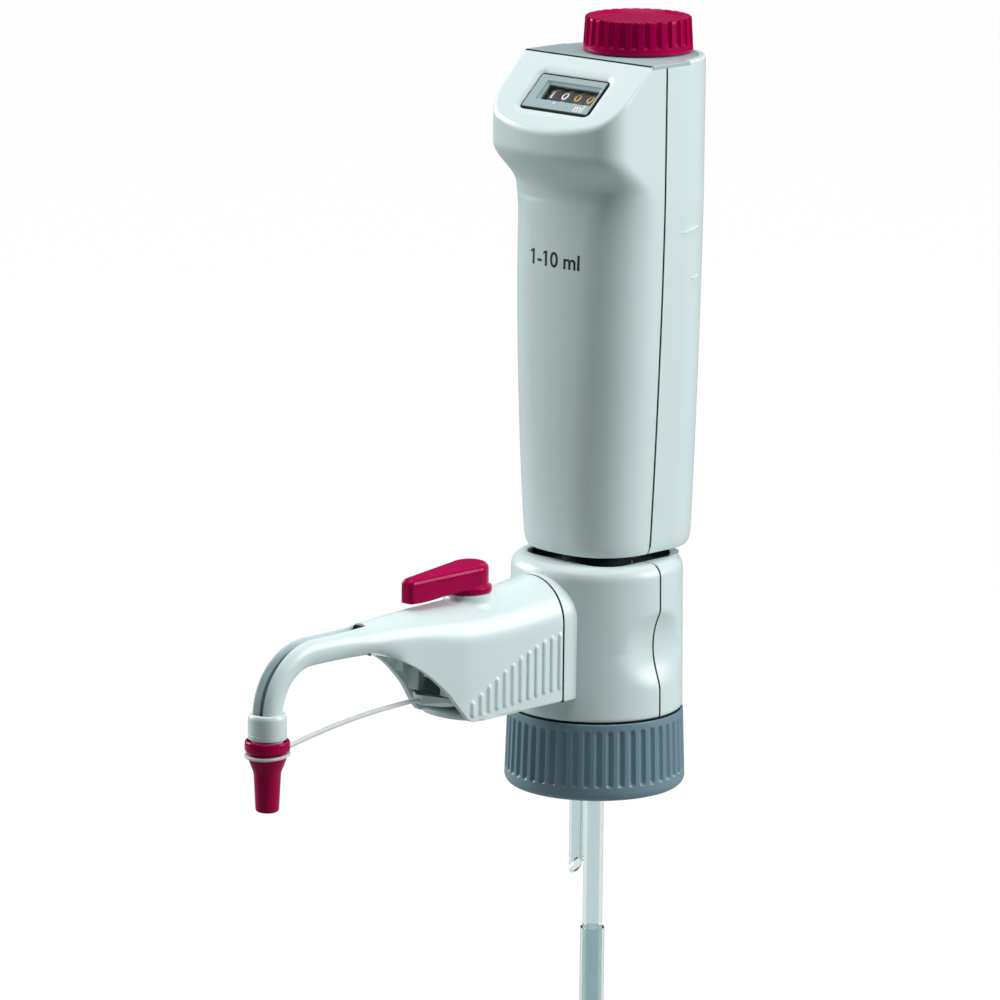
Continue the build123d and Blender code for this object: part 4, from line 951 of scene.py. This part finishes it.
def buildArmShell():
    places = [arm["start"] + 0.0, arm["start"] - 0.15, arm["start"] - 0.45]
    y = arm["start"] - 0.7
    while y > -67.2:
        places.append(y)
        y -= 0.27
    while y > arm["end"] + 0.4:
        places.append(y)
        y -= 0.7
    places.append(arm["end"])
    verts = []
    for index, y in enumerate(places):
        ease = (0.3, 0.08, 0)[index] if index < 3 else 0
        outer = armSection(y, ease, 56, 30, True)
        inner = list(reversed(armSection(y, arm["wall"], 8, 16, False)))
        verts += [(x, y, z) for x, z in outer + inner]
    columns = len(outer) + len(inner)
    faces = stripFaces(len(places), columns, closed=True)
    faces += [list(range(columns)), [(len(places) - 1) * columns + i for i in range(columns)]]
    makePiece("arm_shell", verts, faces, "valve_block", whiteAbs, ["arm_cover"], sharpAngle=40)
    # black strip of painted shade in the gap between the arm and its flange
    loops = [armSection(y, 0.15, 8, 30, False) + list(reversed(armSection(y, 1.5, 8, 30, False)))
             for y in (-27.9, -28.9)]
    columns = len(loops[0])
    verts = [(x, y, z) for y, loop in zip((-27.9, -28.9), loops) for x, z in loop]
    faces = stripFaces(2, columns, closed=True) + [list(range(columns)), list(range(columns, 2 * columns))]
    makePiece("arm_gap_shade", verts, faces, "valve_block", blackPomAndGapShade, weighted=False)
    # floor with a bowed, rounded front lip
    verts, count = [], 24
    half = 12.2
    for share, low, high in ((1.0, 32.4, 32.5), (0.985, 31.95, 33.0), (0.95, 31.6, 33.25), (0.88, 31.5, 33.3)):
        for z in (low, high):
            row = []
            for i in range(count + 1):
                x = half * math.cos(math.pi * i / count) * (0.94 + 0.06 * share)
                reach = 9.0 * math.sqrt(max(0, 1 - (x / half) ** 2)) ** 0.8
                row.append((x, -58.5 - (reach + 1.5) * share + 0.5, z))
            verts.append(row)
    lows, highs = [verts[i] for i in (6, 4, 2, 0)], [verts[i] for i in (1, 3, 5, 7)]
    rows = [[(x, -30.0, 31.5) for x, y, z in lows[0]]] + lows + highs + [[(x, -30.0, 33.3) for x, y, z in highs[-1]]]
    flat = [point for row in rows for point in row]
    columns = count + 1
    faces = stripFaces(len(rows), columns)
    faces += [[row * columns for row in range(len(rows))], [row * columns + count for row in range(len(rows))]]
    last = (len(rows) - 1) * columns
    faces += [(i, i + 1, last + i + 1, last + i) for i in range(count)]
    makePiece("arm_floor", flat, faces, "valve_block", whiteAbs)


buildArmShell()


# Swan neck: solid, with a round-bottomed groove for the discharge tube along its outer side
neck = {"centre": 60.5, "radius": 4.35, "bendRadius": 16.5, "nozzleY": -138.7, "end": 41.7, "grooveHalf": 1.85,
        "grooveFloor": 1.9}


def neckFrame(travel):
    # point on the centre line and the outward direction after this travel from the arm's end
    straight = neck["nozzleY"] + neck["bendRadius"]
    run = arm["end"] + 6 - straight
    bend = neck["centre"] - neck["bendRadius"]
    if travel <= run:
        return Vector((0, arm["end"] + 6 - travel, neck["centre"])), Vector((0, 0, 1))
    a = (travel - run) / neck["bendRadius"]
    if a <= math.pi / 2:
        out = Vector((0, -math.sin(a), math.cos(a)))
        return Vector((0, straight, bend)) + out * neck["bendRadius"], out
    return Vector((0, neck["nozzleY"], bend - (a - math.pi / 2) * neck["bendRadius"])), Vector((0, -1, 0))


def buildNeck():
    total = (arm["end"] + 6 - neck["nozzleY"] - neck["bendRadius"]) + neck["bendRadius"] * math.pi / 2
    total += neck["centre"] - neck["bendRadius"] - neck["end"]
    steps = 97
    grooveShade = []
    halfG, floorR = neck["grooveHalf"], neck["grooveFloor"]
    verts = []
    lip = 0.35
    around = 44
    for i in range(steps + 1):
        # the first rows sit inside the shell; a doubled row makes a square step where the neck comes out
        travel = (0, 3, 5.9, 5.97, 5.98)[i] if i < 5 else mix(6.2, total, (i - 5) / (steps - 5))
        centre, out = neckFrame(travel)
        y = centre.y
        inside = i < 4
        section = armSection(y, arm["wall"] + 0.02 if inside else 0.0, 10, 20, False)
        blendIn = smooth(-arm["end"] + 0.5, 119.5, -y)
        start = math.asin((halfG + lip) / 4.8)
        points = []
        for k in range(around + 1):
            a = start + (2 * math.pi - 2 * start) * k / around
            dx, dz = math.sin(a), math.cos(a)
            reach = neck["radius"]
            if blendIn < 1:
                width = max(abs(p[0]) for p in section)
                top, foot = max(p[1] for p in section), min(p[1] for p in section)
                reach = polarArch(dx, dz, width, top - neck["centre"], foot - neck["centre"])
                reach = mix(reach, neck["radius"], blendIn)
            points.append((dx * reach, dz * reach))
        lipTop = points[0][1]
        groove = [(-halfG, lipTop - 0.35), (-halfG, 0.3)]
        for k in range(1, 8):
            a = math.pi * k / 8
            groove.append((-halfG * math.cos(a), 0.3 - floorR * math.sin(a) + 0.0))
        groove += [(halfG, 0.3), (halfG, lipTop - 0.35)]
        loop = points + groove
        verts += [centre + Vector((x, 0, 0)) + out * n for x, n in loop]
        if i > 5:
            # rows of the grey sheet of painted shade that lines the groove
            for grow in (0.02, 0.11):
                side, low = halfG - grow, floorR - grow
                shadeRow = [(-side, 1.3)] + [(-side * math.cos(math.pi * k / 8), 0.3 - low * math.sin(math.pi * k / 8))
                                        for k in range(9)] + [(side, 1.3)]
                shadeRow = shadeRow if grow < 0.1 else shadeRow[::-1]
                grooveShade += [centre + Vector((x, 0, 0)) + out * n for x, n in shadeRow]
    columns = len(loop)
    faces = stripFaces(steps + 1, columns, closed=True)
    faces += [list(range(columns)), [steps * columns + i for i in range(columns)]]
    makePiece("swan_neck", verts, faces, "valve_block", whiteAbs, sharpAngle=38)
    # thin grey sheet in the groove under the tube: painted shade that darkens the groove seen through the tube
    columns = 22
    count = len(grooveShade) // columns
    faces = stripFaces(count, columns, closed=True)
    faces += [list(range(columns)), [(count - 1) * columns + i for i in range(columns)]]
    makePiece("groove_shade_liner", grooveShade, faces, "valve_block", slatePp)
    # dark piece of painted shade at the inner end of the groove, where the tube comes out of the arm
    half, low, high = neck["grooveHalf"] - 0.03, 62.3, 64.55
    verts = [(x, y, z) for y, grow in ((arm["end"] - 0.05, 0), (arm["end"] - 0.8, 0), (arm["end"] - 1.3, -0.9))
             for x, z in ((-half, low), (half, low), (half, high + grow), (-half, high + grow))]
    faces = stripFaces(3, 4, closed=True) + [(0, 1, 2, 3), (8, 9, 10, 11)]
    makePiece("groove_end_shade", verts, faces, "valve_block", blackPomAndGapShade, weighted=False)


def polarArch(dx, dz, width, top, foot):
    # distance from the neck's centre to a round-topped section with a rounded foot
    low, high = 0.5, 30.0
    corner = min(width, (top - foot) / 2) * 0.98
    for _ in range(26):
        reach = (low + high) / 2
        x, z = abs(dx * reach), dz * reach
        if z > top - width:
            inside = math.hypot(x, z - top + width) < width
        elif z < foot + corner:
            inside = math.hypot(max(x - width + corner, 0), z - foot - corner) < corner and z > foot
        else:
            inside = x < width
        low, high = (reach, high) if inside else (low, reach)
    return low


buildNeck()


def buildBoss():
    # upright boss under the lever, running into the arch with a soft fillet
    centreY, radius, top, flare = -56.0, 7.0, 67.75, 1.6
    turns = evenTurns(72)
    rows = 12
    verts = []

    def surface(x, y):
        width = curveThrough(arm["width"], -y)
        crest = curveThrough(arm["top"], -y)
        return crest - width + math.sqrt(max(width * width - x * x, 0))

    for k in range(rows + 1):
        t = k / rows
        for turn in turns:
            c, s = math.cos(turn), math.sin(turn)
            room = top - surface(radius * c, centreY + radius * s)
            reach = min(flare, max(room * 0.85, 0.3))
            r = radius + reach * (1 - math.sin(t * math.pi / 2))
            lift = min(room * 0.9, reach)
            z = surface(r * c, centreY + r * s) - 0.06 + lift * (1 - math.cos(t * math.pi / 2))
            verts.append((r * c, centreY + r * s, z))
    for r, z in ((radius, top - 0.25), (radius - 0.08, top - 0.08), (radius - 0.25, top)):
        verts += [(r * math.cos(t), centreY + r * math.sin(t), z) for t in turns]
    base = [((radius - 1) * math.cos(t), centreY + (radius - 1) * math.sin(t), 60.5) for t in turns]
    verts = base + verts
    columns = len(turns)
    rowCount = len(verts) // columns
    faces = stripFaces(rowCount, columns, closed=True)
    faces += [list(range(columns)), [(rowCount - 1) * columns + i for i in range(columns)]]
    makePiece("lever_boss", verts, faces, "valve_block", whiteAbs)


buildBoss()
print("arm made")


# Recirculation lever: gloss handle that leans down to its tip, on a round base
lever = {"axisY": -56.0, "foot": 68.0, "height": 8.5, "reach": 26.4, "rear": 6.1, "tip": 2.5, "tipCorner": 1.5,
         "edge": 2.0, "fall": 1.1, "base": 7.1, "arch": 1.5}


def leverLoop(inset):
    rear, tip, corner = lever["rear"] - inset, lever["tip"] - inset, max(lever["tipCorner"] - inset * 0.8, 0.2)
    reach = lever["reach"] - inset
    loop = []
    for i in range(29):
        a = math.radians(-20 + 220 * i / 28)
        loop.append((rear * math.cos(a), rear * math.sin(a)))
    left = loop[-1]
    endLeft = (-tip, -reach)
    for i in range(1, 9):
        loop.append((mix(left[0], endLeft[0], i / 9 * (1 - corner / 25)), mix(left[1], endLeft[1] + corner, i / 9)))
    for i in range(6):
        a = math.pi / 2 * i / 5
        loop.append((-tip + corner - corner * math.cos(a), -reach + corner - corner * math.sin(a)))
    for i in range(6):
        a = math.pi / 2 * i / 5
        loop.append((tip - corner + corner * math.sin(a), -reach + corner - corner * math.cos(a)))
    right = loop[0]
    for i in range(1, 9):
        loop.append((mix(tip, right[0], i / 9), mix(-reach + corner, right[1], i / 9)))
    return loop


def buildLever():
    verts = []
    foot, edge = lever["foot"], lever["edge"]
    rows = [(0.5, 0.0, 0), (0.1, 0.12, 0), (0.0, 0.5, 0)]
    rows += [(0.0, 0.3 + 0.62 * i / 4, 2) for i in range(1, 4)]
    edgeTurns = [math.pi / 2 * i / 7 for i in range(8)]
    rows += [(edge * (1 - math.cos(t)), edge * (1 - math.sin(t)), 1) for t in edgeTurns]
    for inset, up, kind in rows:
        for x, y in leverLoop(inset):
            crown = foot + lever["height"] + lever["fall"] * min(y, 5) / lever["reach"]
            under = foot + lever["arch"] * smooth(-23, -7, y)
            if kind == 0:
                z = under + up
            elif kind == 1:
                z = crown - up
            else:
                z = mix(under + 0.5, crown - edge, (up - 0.3) / 0.62)
            verts.append((x, lever["axisY"] + y, z))
    columns = len(leverLoop(0))
    faces = stripFaces(len(rows), columns, closed=True)
    faces += [list(range(columns)), [(len(rows) - 1) * columns + i for i in range(columns)]]
    makePiece("lever_handle", verts, faces, "lever", crimsonPbt, ["recirculation_lever"])
    baseRows = [(lever["base"] - 0.3, foot, 0), (lever["base"], foot + 0.3, 0), (lever["base"], foot + 1.3, 0),
                (lever["base"] - 0.15, foot + 1.7, 0), (lever["base"] - 0.5, foot + 1.9, 0), (6.4, foot + 2.05, 0),
                (6.1, foot + 2.4, 0), (5.8, foot + 3.2, 0)]
    makeTurned("lever_base", baseRows, evenTurns(72), lever["axisY"], "lever", crimsonPbt)


buildLever()


# Nozzle sleeve, screw cap, its ring and the strap that keeps it
nozzle = {"sleeveTop": 44.9, "sleeveFoot": 37.4, "radius": 5.65, "spigotFoot": 31.5, "bore": 1.8,
          "capTop": 37.1, "capFoot": 15.8}


def buildNozzle():
    top, foot = nozzle["sleeveTop"], nozzle["sleeveFoot"]
    rows = [(nozzle["bore"], nozzle["spigotFoot"], 0), (4.3, nozzle["spigotFoot"], 0), (4.6, 31.8, 0)]
    z = 32.2
    while z < 35.6:
        rows += [(4.6, z, 0), (4.3, z + 0.3, 0), (4.3, z + 0.6, 0), (4.6, z + 0.9, 0)]
        z += 1.2
    out = nozzle["radius"]
    rows += [(4.6, foot, 0), (out - 0.25, foot, 0), (out - 0.05, foot + 0.15, 0), (out, foot + 0.4, 0),
             (out, foot + 1.5, 0), (out - 0.11, foot + 1.6, 0), (out - 0.11, foot + 1.75, 0), (out, foot + 1.85, 0)]
    rows += quarter(out, top - 1.9, 4.75, top, 7, bulgeOut=False)
    rows += [(4.45, top, 0), (4.45, 41.55, 0), (nozzle["bore"], 41.55, 0)]
    makeTurned("nozzle_sleeve", rows, evenTurns(72), neck["nozzleY"], "valve_block", whiteAbs, ["nozzle"], ring=True)


def buildCap():
    top, foot = nozzle["capTop"], nozzle["capFoot"]
    rows = [(0.4, foot, 0), (2.4, foot, 0)] + quarter(2.5, foot, 3.45, foot + 1.0, 6)
    rows += [(3.6, foot + 4, 0), (3.8, foot + 8, 0), (3.95, foot + 11.0, 0), (4.05, foot + 11.7, 0),
             (4.35, foot + 12.6, 0), (5.1, foot + 14.5, 0), (5.55, foot + 15.8, 0), (5.65, foot + 16.6, 0),
             (5.65, top - 3.3, 0), (6.0, top - 3.3, 0), (6.35, top - 3.15, 0), (6.52, top - 2.8, 0),
             (6.58, top - 2.3, 0),
             (6.58, top - 1.1, 0), (6.5, top - 0.55, 0), (6.3, top - 0.15, 0), (6.0, top, 0), (5.75, top - 0.12, 0),
             (5.6, top - 0.45, 0), (5.55, top - 1.2, 0), (5.5, top - 1.9, 0), (4.9, top - 2.0, 0), (4.9, top - 5.0, 0),
             (2.6, top - 5.1, 0), (2.6, foot + 2.0, 0), (0.4, foot + 2.0, 0)]
    makeTurned("cap_body", rows, evenTurns(72), neck["nozzleY"], "cap", crimsonPbt, ["screw_cap"], sharpAngle=50)
    # thin ring under the flange, pulled up on the strap's side
    ringTop = top - 3.85
    ringRows = [(5.75, ringTop - 0.85, 0), (6.45, ringTop - 0.85, 0), (6.62, ringTop - 0.72, 0),
                (6.68, ringTop - 0.42, 0),
                (6.62, ringTop - 0.13, 0), (6.45, ringTop, 0), (5.75, ringTop, 0)]
    ring = makeTurned("strap_ring", ringRows, evenTurns(72), neck["nozzleY"], "cap_carrier", naturalPp, ["cap_ring"],
                      ring=True)
    for vert in ring.data.vertices:
        vert.co.z += 0.075 * (vert.co.y - neck["nozzleY"] * mm)


buildNozzle()
buildCap()


def buildSaddle():
    # curved saddle across the arm's mouth; it carries the strap's eye
    verts = []
    across, along = 16, 14
    for layer in (0, 1):
        for j in range(along + 1):
            t = j / along
            y = mix(-77.0, -63.5, t)
            half = mix(1.6, min(curveThrough(arm["width"], -y) - arm["wall"] - 0.05, 10.6),
                       smooth(0.0, 0.62, t) ** 0.8)
            for i in range(across + 1):
                u = -1 + 2 * i / across
                crown = (mix(39.9, 36.4, t) - 1.6 * math.sin(math.pi * min(t * 1.15, 1)) * (1 - u * u)
                         + 1.1 * abs(u) ** 3 * t)
                verts.append((half * u, y, crown if layer else crown - mix(2.6, 1.3, smooth(0, 0.4, t))))
    columns = across + 1
    size = columns * (along + 1)
    faces = []
    for layer in (0, 1):
        faces += [tuple(layer * size + k for k in face) for face in stripFaces(along + 1, columns)]
    rimIds = list(range(columns)) + [j * columns + across for j in range(1, along + 1)]
    rimIds += [along * columns + i for i in range(across - 1, -1, -1)]
    rimIds += [j * columns for j in range(along - 1, 0, -1)]
    for a, b in zip(rimIds, rimIds[1:] + rimIds[:1]):
        faces.append((a, b, b + size, a + size))
    makePiece("strap_saddle", verts, faces, "valve_block", whiteAbs, ["tether_holder"])
    # stepped ledges inside the mouth
    for side in (-1, 1):
        for index, (y0, y1, z1, deep) in enumerate(((-90.0, -84.5, 58.0, 1.3), (-84.5, -79.0, 55.0, 2.2),
                                                   (-79.0, -74.2, 51.5, 3.2), (-72.2, -69.0, 47.5, 4.4))):
            verts = []
            for y in (y0, y1):
                wall = curveThrough(arm["width"], -y) - arm["wall"]
                low = curveThrough(arm["rim"], -y0) + 0.5
                for x, z in ((wall + 0.4, low), (wall - deep, low), (wall - deep, z1), (wall + 0.4, z1)):
                    verts.append((side * x, y, z))
            faces = stripFaces(2, 4, closed=True) + [(0, 1, 2, 3), (4, 5, 6, 7)]
            ledge = makePiece(f"mouth_ledge_{'right' if side > 0 else 'left'}_{index + 1}", verts, faces, "valve_block",
                              whiteAbs, weighted=False)
            soft = ledge.modifiers.new("soft edges", "BEVEL")
            soft.width, soft.segments = 0.3 * mm, 2


buildSaddle()


def buildStrap():
    start, end = Vector((0, -132.2, 33.35)), Vector((0, -76.9, 38.4))
    steps, columns = 72, 12
    verts = []
    for i in range(steps + 1):
        t = i / steps
        centre = start.lerp(end, t) + Vector((0, 0, 1.3 * math.sin(math.pi * t)))
        along = (end - start + Vector((0, 0, 1.3 * math.pi * math.cos(math.pi * t)))).normalized()
        upward = Vector((1, 0, 0)).cross(along).normalized()
        if upward.z < 0:
            upward = -upward
        for k in range(columns):
            a = 2 * math.pi * (k + 0.5) / columns
            x = math.copysign(abs(math.cos(a)) ** 0.6, math.cos(a)) * 0.88
            n = math.copysign(abs(math.sin(a)) ** 0.6, math.sin(a)) * 0.6
            verts.append(centre + Vector((x, 0, 0)) + upward * n)
    faces = stripFaces(steps + 1, columns, closed=True)
    faces += [list(range(columns)), [steps * columns + i for i in range(columns)]]
    strap = makePiece("cap_strap", verts, faces, None, naturalPp, ["cap_tether"])
    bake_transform(strap)


buildStrap()
print("lever, nozzle and cap made")


# Top cover: pale grey plate, full width at the sides and let into the rear shell at the back
cover = {"front": -5.95, "sideRear": 10.15, "thick": 1.2, "inset": 2.35}


def buildCover():
    top = housingTop
    front, rear = halfOutline(top, 0)
    width = front[-1][0]
    right = [(width, cover["front"] + i) for i in range(0, 13, 4)]
    right += [(x, y) for x, y in rear if 7.0 < y < cover["sideRear"] - 0.3]
    edgeX = right[-1][0]
    right.append((edgeX, cover["sideRear"]))
    insetRear = halfOutline(top, cover["inset"])[1]
    inner = [(x, y) for x, y in insetRear if y > cover["sideRear"] + 0.4]
    right.append((inner[0][0], cover["sideRear"]))
    right += inner
    if abs(right[-1][0]) < 1e-6:
        right = right[:-1]
    loop = right + [(0, insetRear[-1][1])] + [(-x, y) for x, y in reversed(right)]
    corners = [Vector((x, y, 0)) for x, y in loop]
    count = len(corners)
    verts, rings = [], ((top - cover["thick"], 0.0), (top - 0.28, 0.0), (top - 0.09, 0.08), (top, 0.28))
    for z, inset in rings:
        for i, point in enumerate(corners):
            before, after = corners[i - 1], corners[(i + 1) % count]
            a, b = (point - before).normalized(), (after - point).normalized()
            inward = Vector((-a.y - b.y, a.x + b.x, 0)).normalized()
            verts.append(Vector((point.x, point.y, z)) + inward * inset)
    faces = stripFaces(len(rings), count, closed=True)
    holes = []
    for z in (top - cover["thick"], top):
        holes.append(len(verts))
        verts += [Vector((3.6 * math.cos(t), 15.2 + 3.6 * math.sin(t), z)) for t in evenTurns(24)]
    for start, hole in ((0, holes[0]), ((len(rings) - 1) * count, holes[1])):
        outerIds, holeIds = [start + i for i in range(count)], [hole + i for i in range(24)]
        ids = outerIds + holeIds
        for triangle in tessellate_polygon([[verts[i] for i in outerIds], [verts[i] for i in holeIds]]):
            faces.append([ids[k] for k in triangle])
    faces += [(holes[0] + i, holes[0] + (i + 1) % 24, holes[1] + (i + 1) % 24, holes[1] + i) for i in range(24)]
    makePiece("cover_plate", verts, faces, "plunger", paleGreyPp, ["top_cover"])


buildCover()


# Printing: thin raised ink, cut from Blender's own plain font and bent onto its surface
def printText(name, text, height, width, place, body, material, thick=0.02, cuts=0.0, bold=0.0, flags=()):
    curve = bpy.data.curves.new(name, "FONT")
    curve.body = text
    curve.extrude = 0.5
    curve.offset = bold
    curve.resolution_u = 6
    holder = bpy.data.objects.new(name + "_outline", curve)
    scene.collection.objects.link(holder)
    bpy.context.view_layer.update()
    mesh = bpy.data.meshes.new_from_object(holder)
    bpy.data.objects.remove(holder)
    work = bmesh.new()
    work.from_mesh(mesh)
    bmesh.ops.remove_doubles(work, verts=work.verts, dist=1e-5)
    xs = [v.co.x for v in work.verts]
    ys = [v.co.y for v in work.verts]
    left, low, wide, tall = min(xs), min(ys), max(xs) - min(xs), max(ys) - min(ys)
    for v in work.verts:
        v.co = Vector(((v.co.x - left) / wide * width - width / 2, (v.co.y - low) / tall * height,
                       v.co.z * 2 * thick))
    if cuts:
        at = cuts
        while at < height:
            bmesh.ops.bisect_plane(work, geom=work.verts[:] + work.edges[:] + work.faces[:],
                                   plane_co=(0, at, 0), plane_no=(0, 1, 0))
            at += cuts
        at = -width / 2 + cuts
        while at < width / 2:
            bmesh.ops.bisect_plane(work, geom=work.verts[:] + work.edges[:] + work.faces[:],
                                   plane_co=(at, 0, 0), plane_no=(1, 0, 0))
            at += cuts
    verts = [place(v.co.x, v.co.y, v.co.z) for v in work.verts]
    faces = [[v.index for v in face.verts] for face in work.faces]
    work.free()
    # the slanted stroke of a figure 1: where its stem starts and how far the stroke reaches
    for stem, reach in flags:
        start = len(verts)
        drop, heavy = reach * 0.75, height * 0.13
        for w in (-thick, thick):
            verts += [place(u, v, w)
                      for u, v in ((stem - reach, height - drop - heavy), (stem + 0.02, height - heavy * 1.3),
                                                  (stem + 0.02, height), (stem - reach, height - drop))]
        faces += [(start, start + 1, start + 2, start + 3), (start + 4, start + 5, start + 6, start + 7)]
        faces += [(start + k, start + (k + 1) % 4, start + 4 + (k + 1) % 4, start + 4 + k) for k in range(4)]
    return makePiece(name, verts, faces, body, material, weighted=False)


# Counter: the reading is 10.00, whole millilitres in white and decimals in gold
counter = {"axisY": -10.685, "axisZ": 205.595, "radius": 5.8, "pitch": 5.05, "middleX": 1.5,
           "shown": (1, 0, 0, 0), "digitHeight": 2.95, "digitWidth": 2.25, "readUp": 0.7, "shift": -0.8}


def buildDigits():
    for wheel in range(4):
        centreX = counter["middleX"] + counter["shift"] + (wheel - 1.5) * counter["pitch"]
        for digit in range(10):
            around = (digit - counter["shown"][wheel]) * 2 * math.pi / 10

            def onWheel(u, v, w):
                a = (v + counter["readUp"] - counter["digitHeight"] / 2) / counter["radius"] - around
                out = slopeOut * math.cos(a) + slopeUp * math.sin(a)
                at = Vector((centreX + u, counter["axisY"], counter["axisZ"]))
                return at + out * (counter["radius"] + 0.01 + w)

            wide = counter["digitWidth"] * (0.3 if digit == 1 else 1)
            printText(f"digit_{wheel + 1}_{digit}", str(digit), counter["digitHeight"], wide, onWheel,
                      f"wheel_{wheel + 1}", printWhite if wheel < 2 else printGold, thick=0.03, cuts=0.45,
                      flags=[(-wide / 2, 0.65)] if digit == 1 else ())


buildDigits()


def onBezel(centreX, foot, depth=0.3):
    return lambda u, v, w: onSlope(centreX + u, foot + v, depth - 0.005 - w)


bezel = {"width": 26.3, "height": 12.7, "along": -14.4, "corner": 0.3, "depth": 0.35, "thick": 1.5,
         "aperture": (1.5, -14.0, 20.3, 5.8)}


def buildBezel():
    def loopAt(grow, depth, hole=False):
        x, along, width, height = bezel["aperture"] if hole else (0, bezel["along"], bezel["width"], bezel["height"])
        return roundedLoop(x, along, width + grow, height + grow, 0.35 if hole else bezel["corner"], depth, steps=4)

    top, foot = bezel["depth"], bezel["depth"] + bezel["thick"]
    loops = [loopAt(0, foot), loopAt(0, top + 0.25), loopAt(-0.3, top), loopAt(1.9, top, True),
             loopAt(1.1, top + 0.5, True),
             loopAt(0, top + 0.75, True), loopAt(0, foot, True)]
    count = len(loops[0])
    verts = [point for loop in loops for point in loop]
    faces = stripFaces(len(loops), count, closed=True)
    last = (len(loops) - 1) * count
    faces += [(last + i, last + (i + 1) % count, (i + 1) % count, i) for i in range(count)]
    makePiece("bezel_plate", verts, faces, "plunger", bezelGrey, ["display_frame"])
    # dark ring of painted shade in the gap round the plate
    shadeLoops = [roundedLoop(0, bezel["along"], width, height, corner, depth)
            for width, height, corner, depth in ((26.34, 12.74, 0.35, 0.55), (27.24, 13.64, 0.9, 0.55),
                                                 (27.24, 13.64, 1.6, 1.8), (26.34, 12.74, 0.35, 1.8))]
    count = len(shadeLoops[0])
    verts = [point for loop in shadeLoops for point in loop]
    faces = stripFaces(4, count, closed=True)
    faces += [(3 * count + i, 3 * count + (i + 1) % count, (i + 1) % count, i) for i in range(count)]
    makePiece("bezel_gap_shade", verts, faces, "plunger", blackPomAndGapShade)
    # thin dark strip of painted shade across the top of the slope, under the cover's front edge
    width = halfOutline(housingTop, 0)[0][-1][0] - 0.15
    verts = [onSlope(x, along, depth) for x in (-width, width)
             for along, depth in ((-0.62, 0.2), (-0.62, -0.03), (-0.05, -0.03), (-0.05, 0.2))]
    faces = [(0, 1, 2, 3), (4, 5, 6, 7)] + [(k, (k + 1) % 4, 4 + (k + 1) % 4, 4 + k) for k in range(4)]
    makePiece("cover_gap_shade", verts, faces, "plunger", blackPomAndGapShade)


buildBezel()


def buildRidges():
    # two small moulded ridges on the right of the rear shell
    for name, z0, z1, y0, y1 in (("ridge_upper", 170.4, 171.6, 7.4, 17.5), ("ridge_lower", 156.1, 156.5, 13.0, 17.5)):
        run = halfOutline((z0 + z1) / 2, 0)[1]

        def surface(y):
            for (xa, ya), (xb, yb) in zip(run, run[1:]):
                if yb >= y:
                    return mix(xa, xb, (y - ya) / max(yb - ya, 1e-9))
            return run[-1][0]

        verts = []
        steps = 16
        for i in range(steps + 1):
            y, z = mix(y0, y1, i / steps), mix(z0, z1, i / steps)
            x = surface(y)
            tall = 0.5 * min(1, 6 * min(i, steps - i) / steps + 0.05)
            verts += [(x - 0.2, y, z - 0.45), (x + tall, y, z - 0.2), (x + tall, y, z + 0.15), (x - 0.2, y, z + 0.4)]
        faces = stripFaces(steps + 1, 4, closed=True) + [(0, 1, 2, 3), tuple(4 * steps + k for k in range(4))]
        makePiece(name, verts, faces, "plunger", whiteAbs)


buildRidges()


def buildBezelMarks():
    printText("unit_mark", "ml", 2.8, 3.6, onBezel(9.0, -20.3, bezel["depth"]), "plunger", printWhite,
              bold=0.015)
    verts = []
    for radius, depth in ((0.42, 0.37), (0.42, 0.32), (0.36, 0.3)):
        verts += [onSlope(-1.6 + radius * math.cos(t), -18.25 + radius * math.sin(t), depth) for t in evenTurns(20)]
    faces = stripFaces(3, 20, closed=True) + [list(range(20)), list(range(40, 60))]
    makePiece("decimal_mark", verts, faces, "plunger", printWhite)


buildBezelMarks()


def frontFace(x, z):
    # y of the bowed front at this x and height
    run = halfOutline(z, 0)[0]
    for (x0, y0), (x1, y1) in zip(run, run[1:]):
        if x1 >= abs(x):
            return mix(y0, y1, (abs(x) - x0) / max(x1 - x0, 1e-9))
    return run[-1][1]


capacity = {"text": "1-10 ml", "height": 4.7, "width": 18.9, "middleX": 0.2, "baseline": 160.3}


def onFront(u, v, w):
    x, z = capacity["middleX"] + u, capacity["baseline"] + v
    return Vector((x, frontFace(x, z) - 0.012 - w, z))


printText("capacity_mark", capacity["text"], capacity["height"], capacity["width"], onFront, "plunger", printDark,
          thick=0.03, cuts=1.0, bold=0.016, flags=((-9.4, 0.9), (-3.95, 0.8)))
print("cover, counter and printing made")
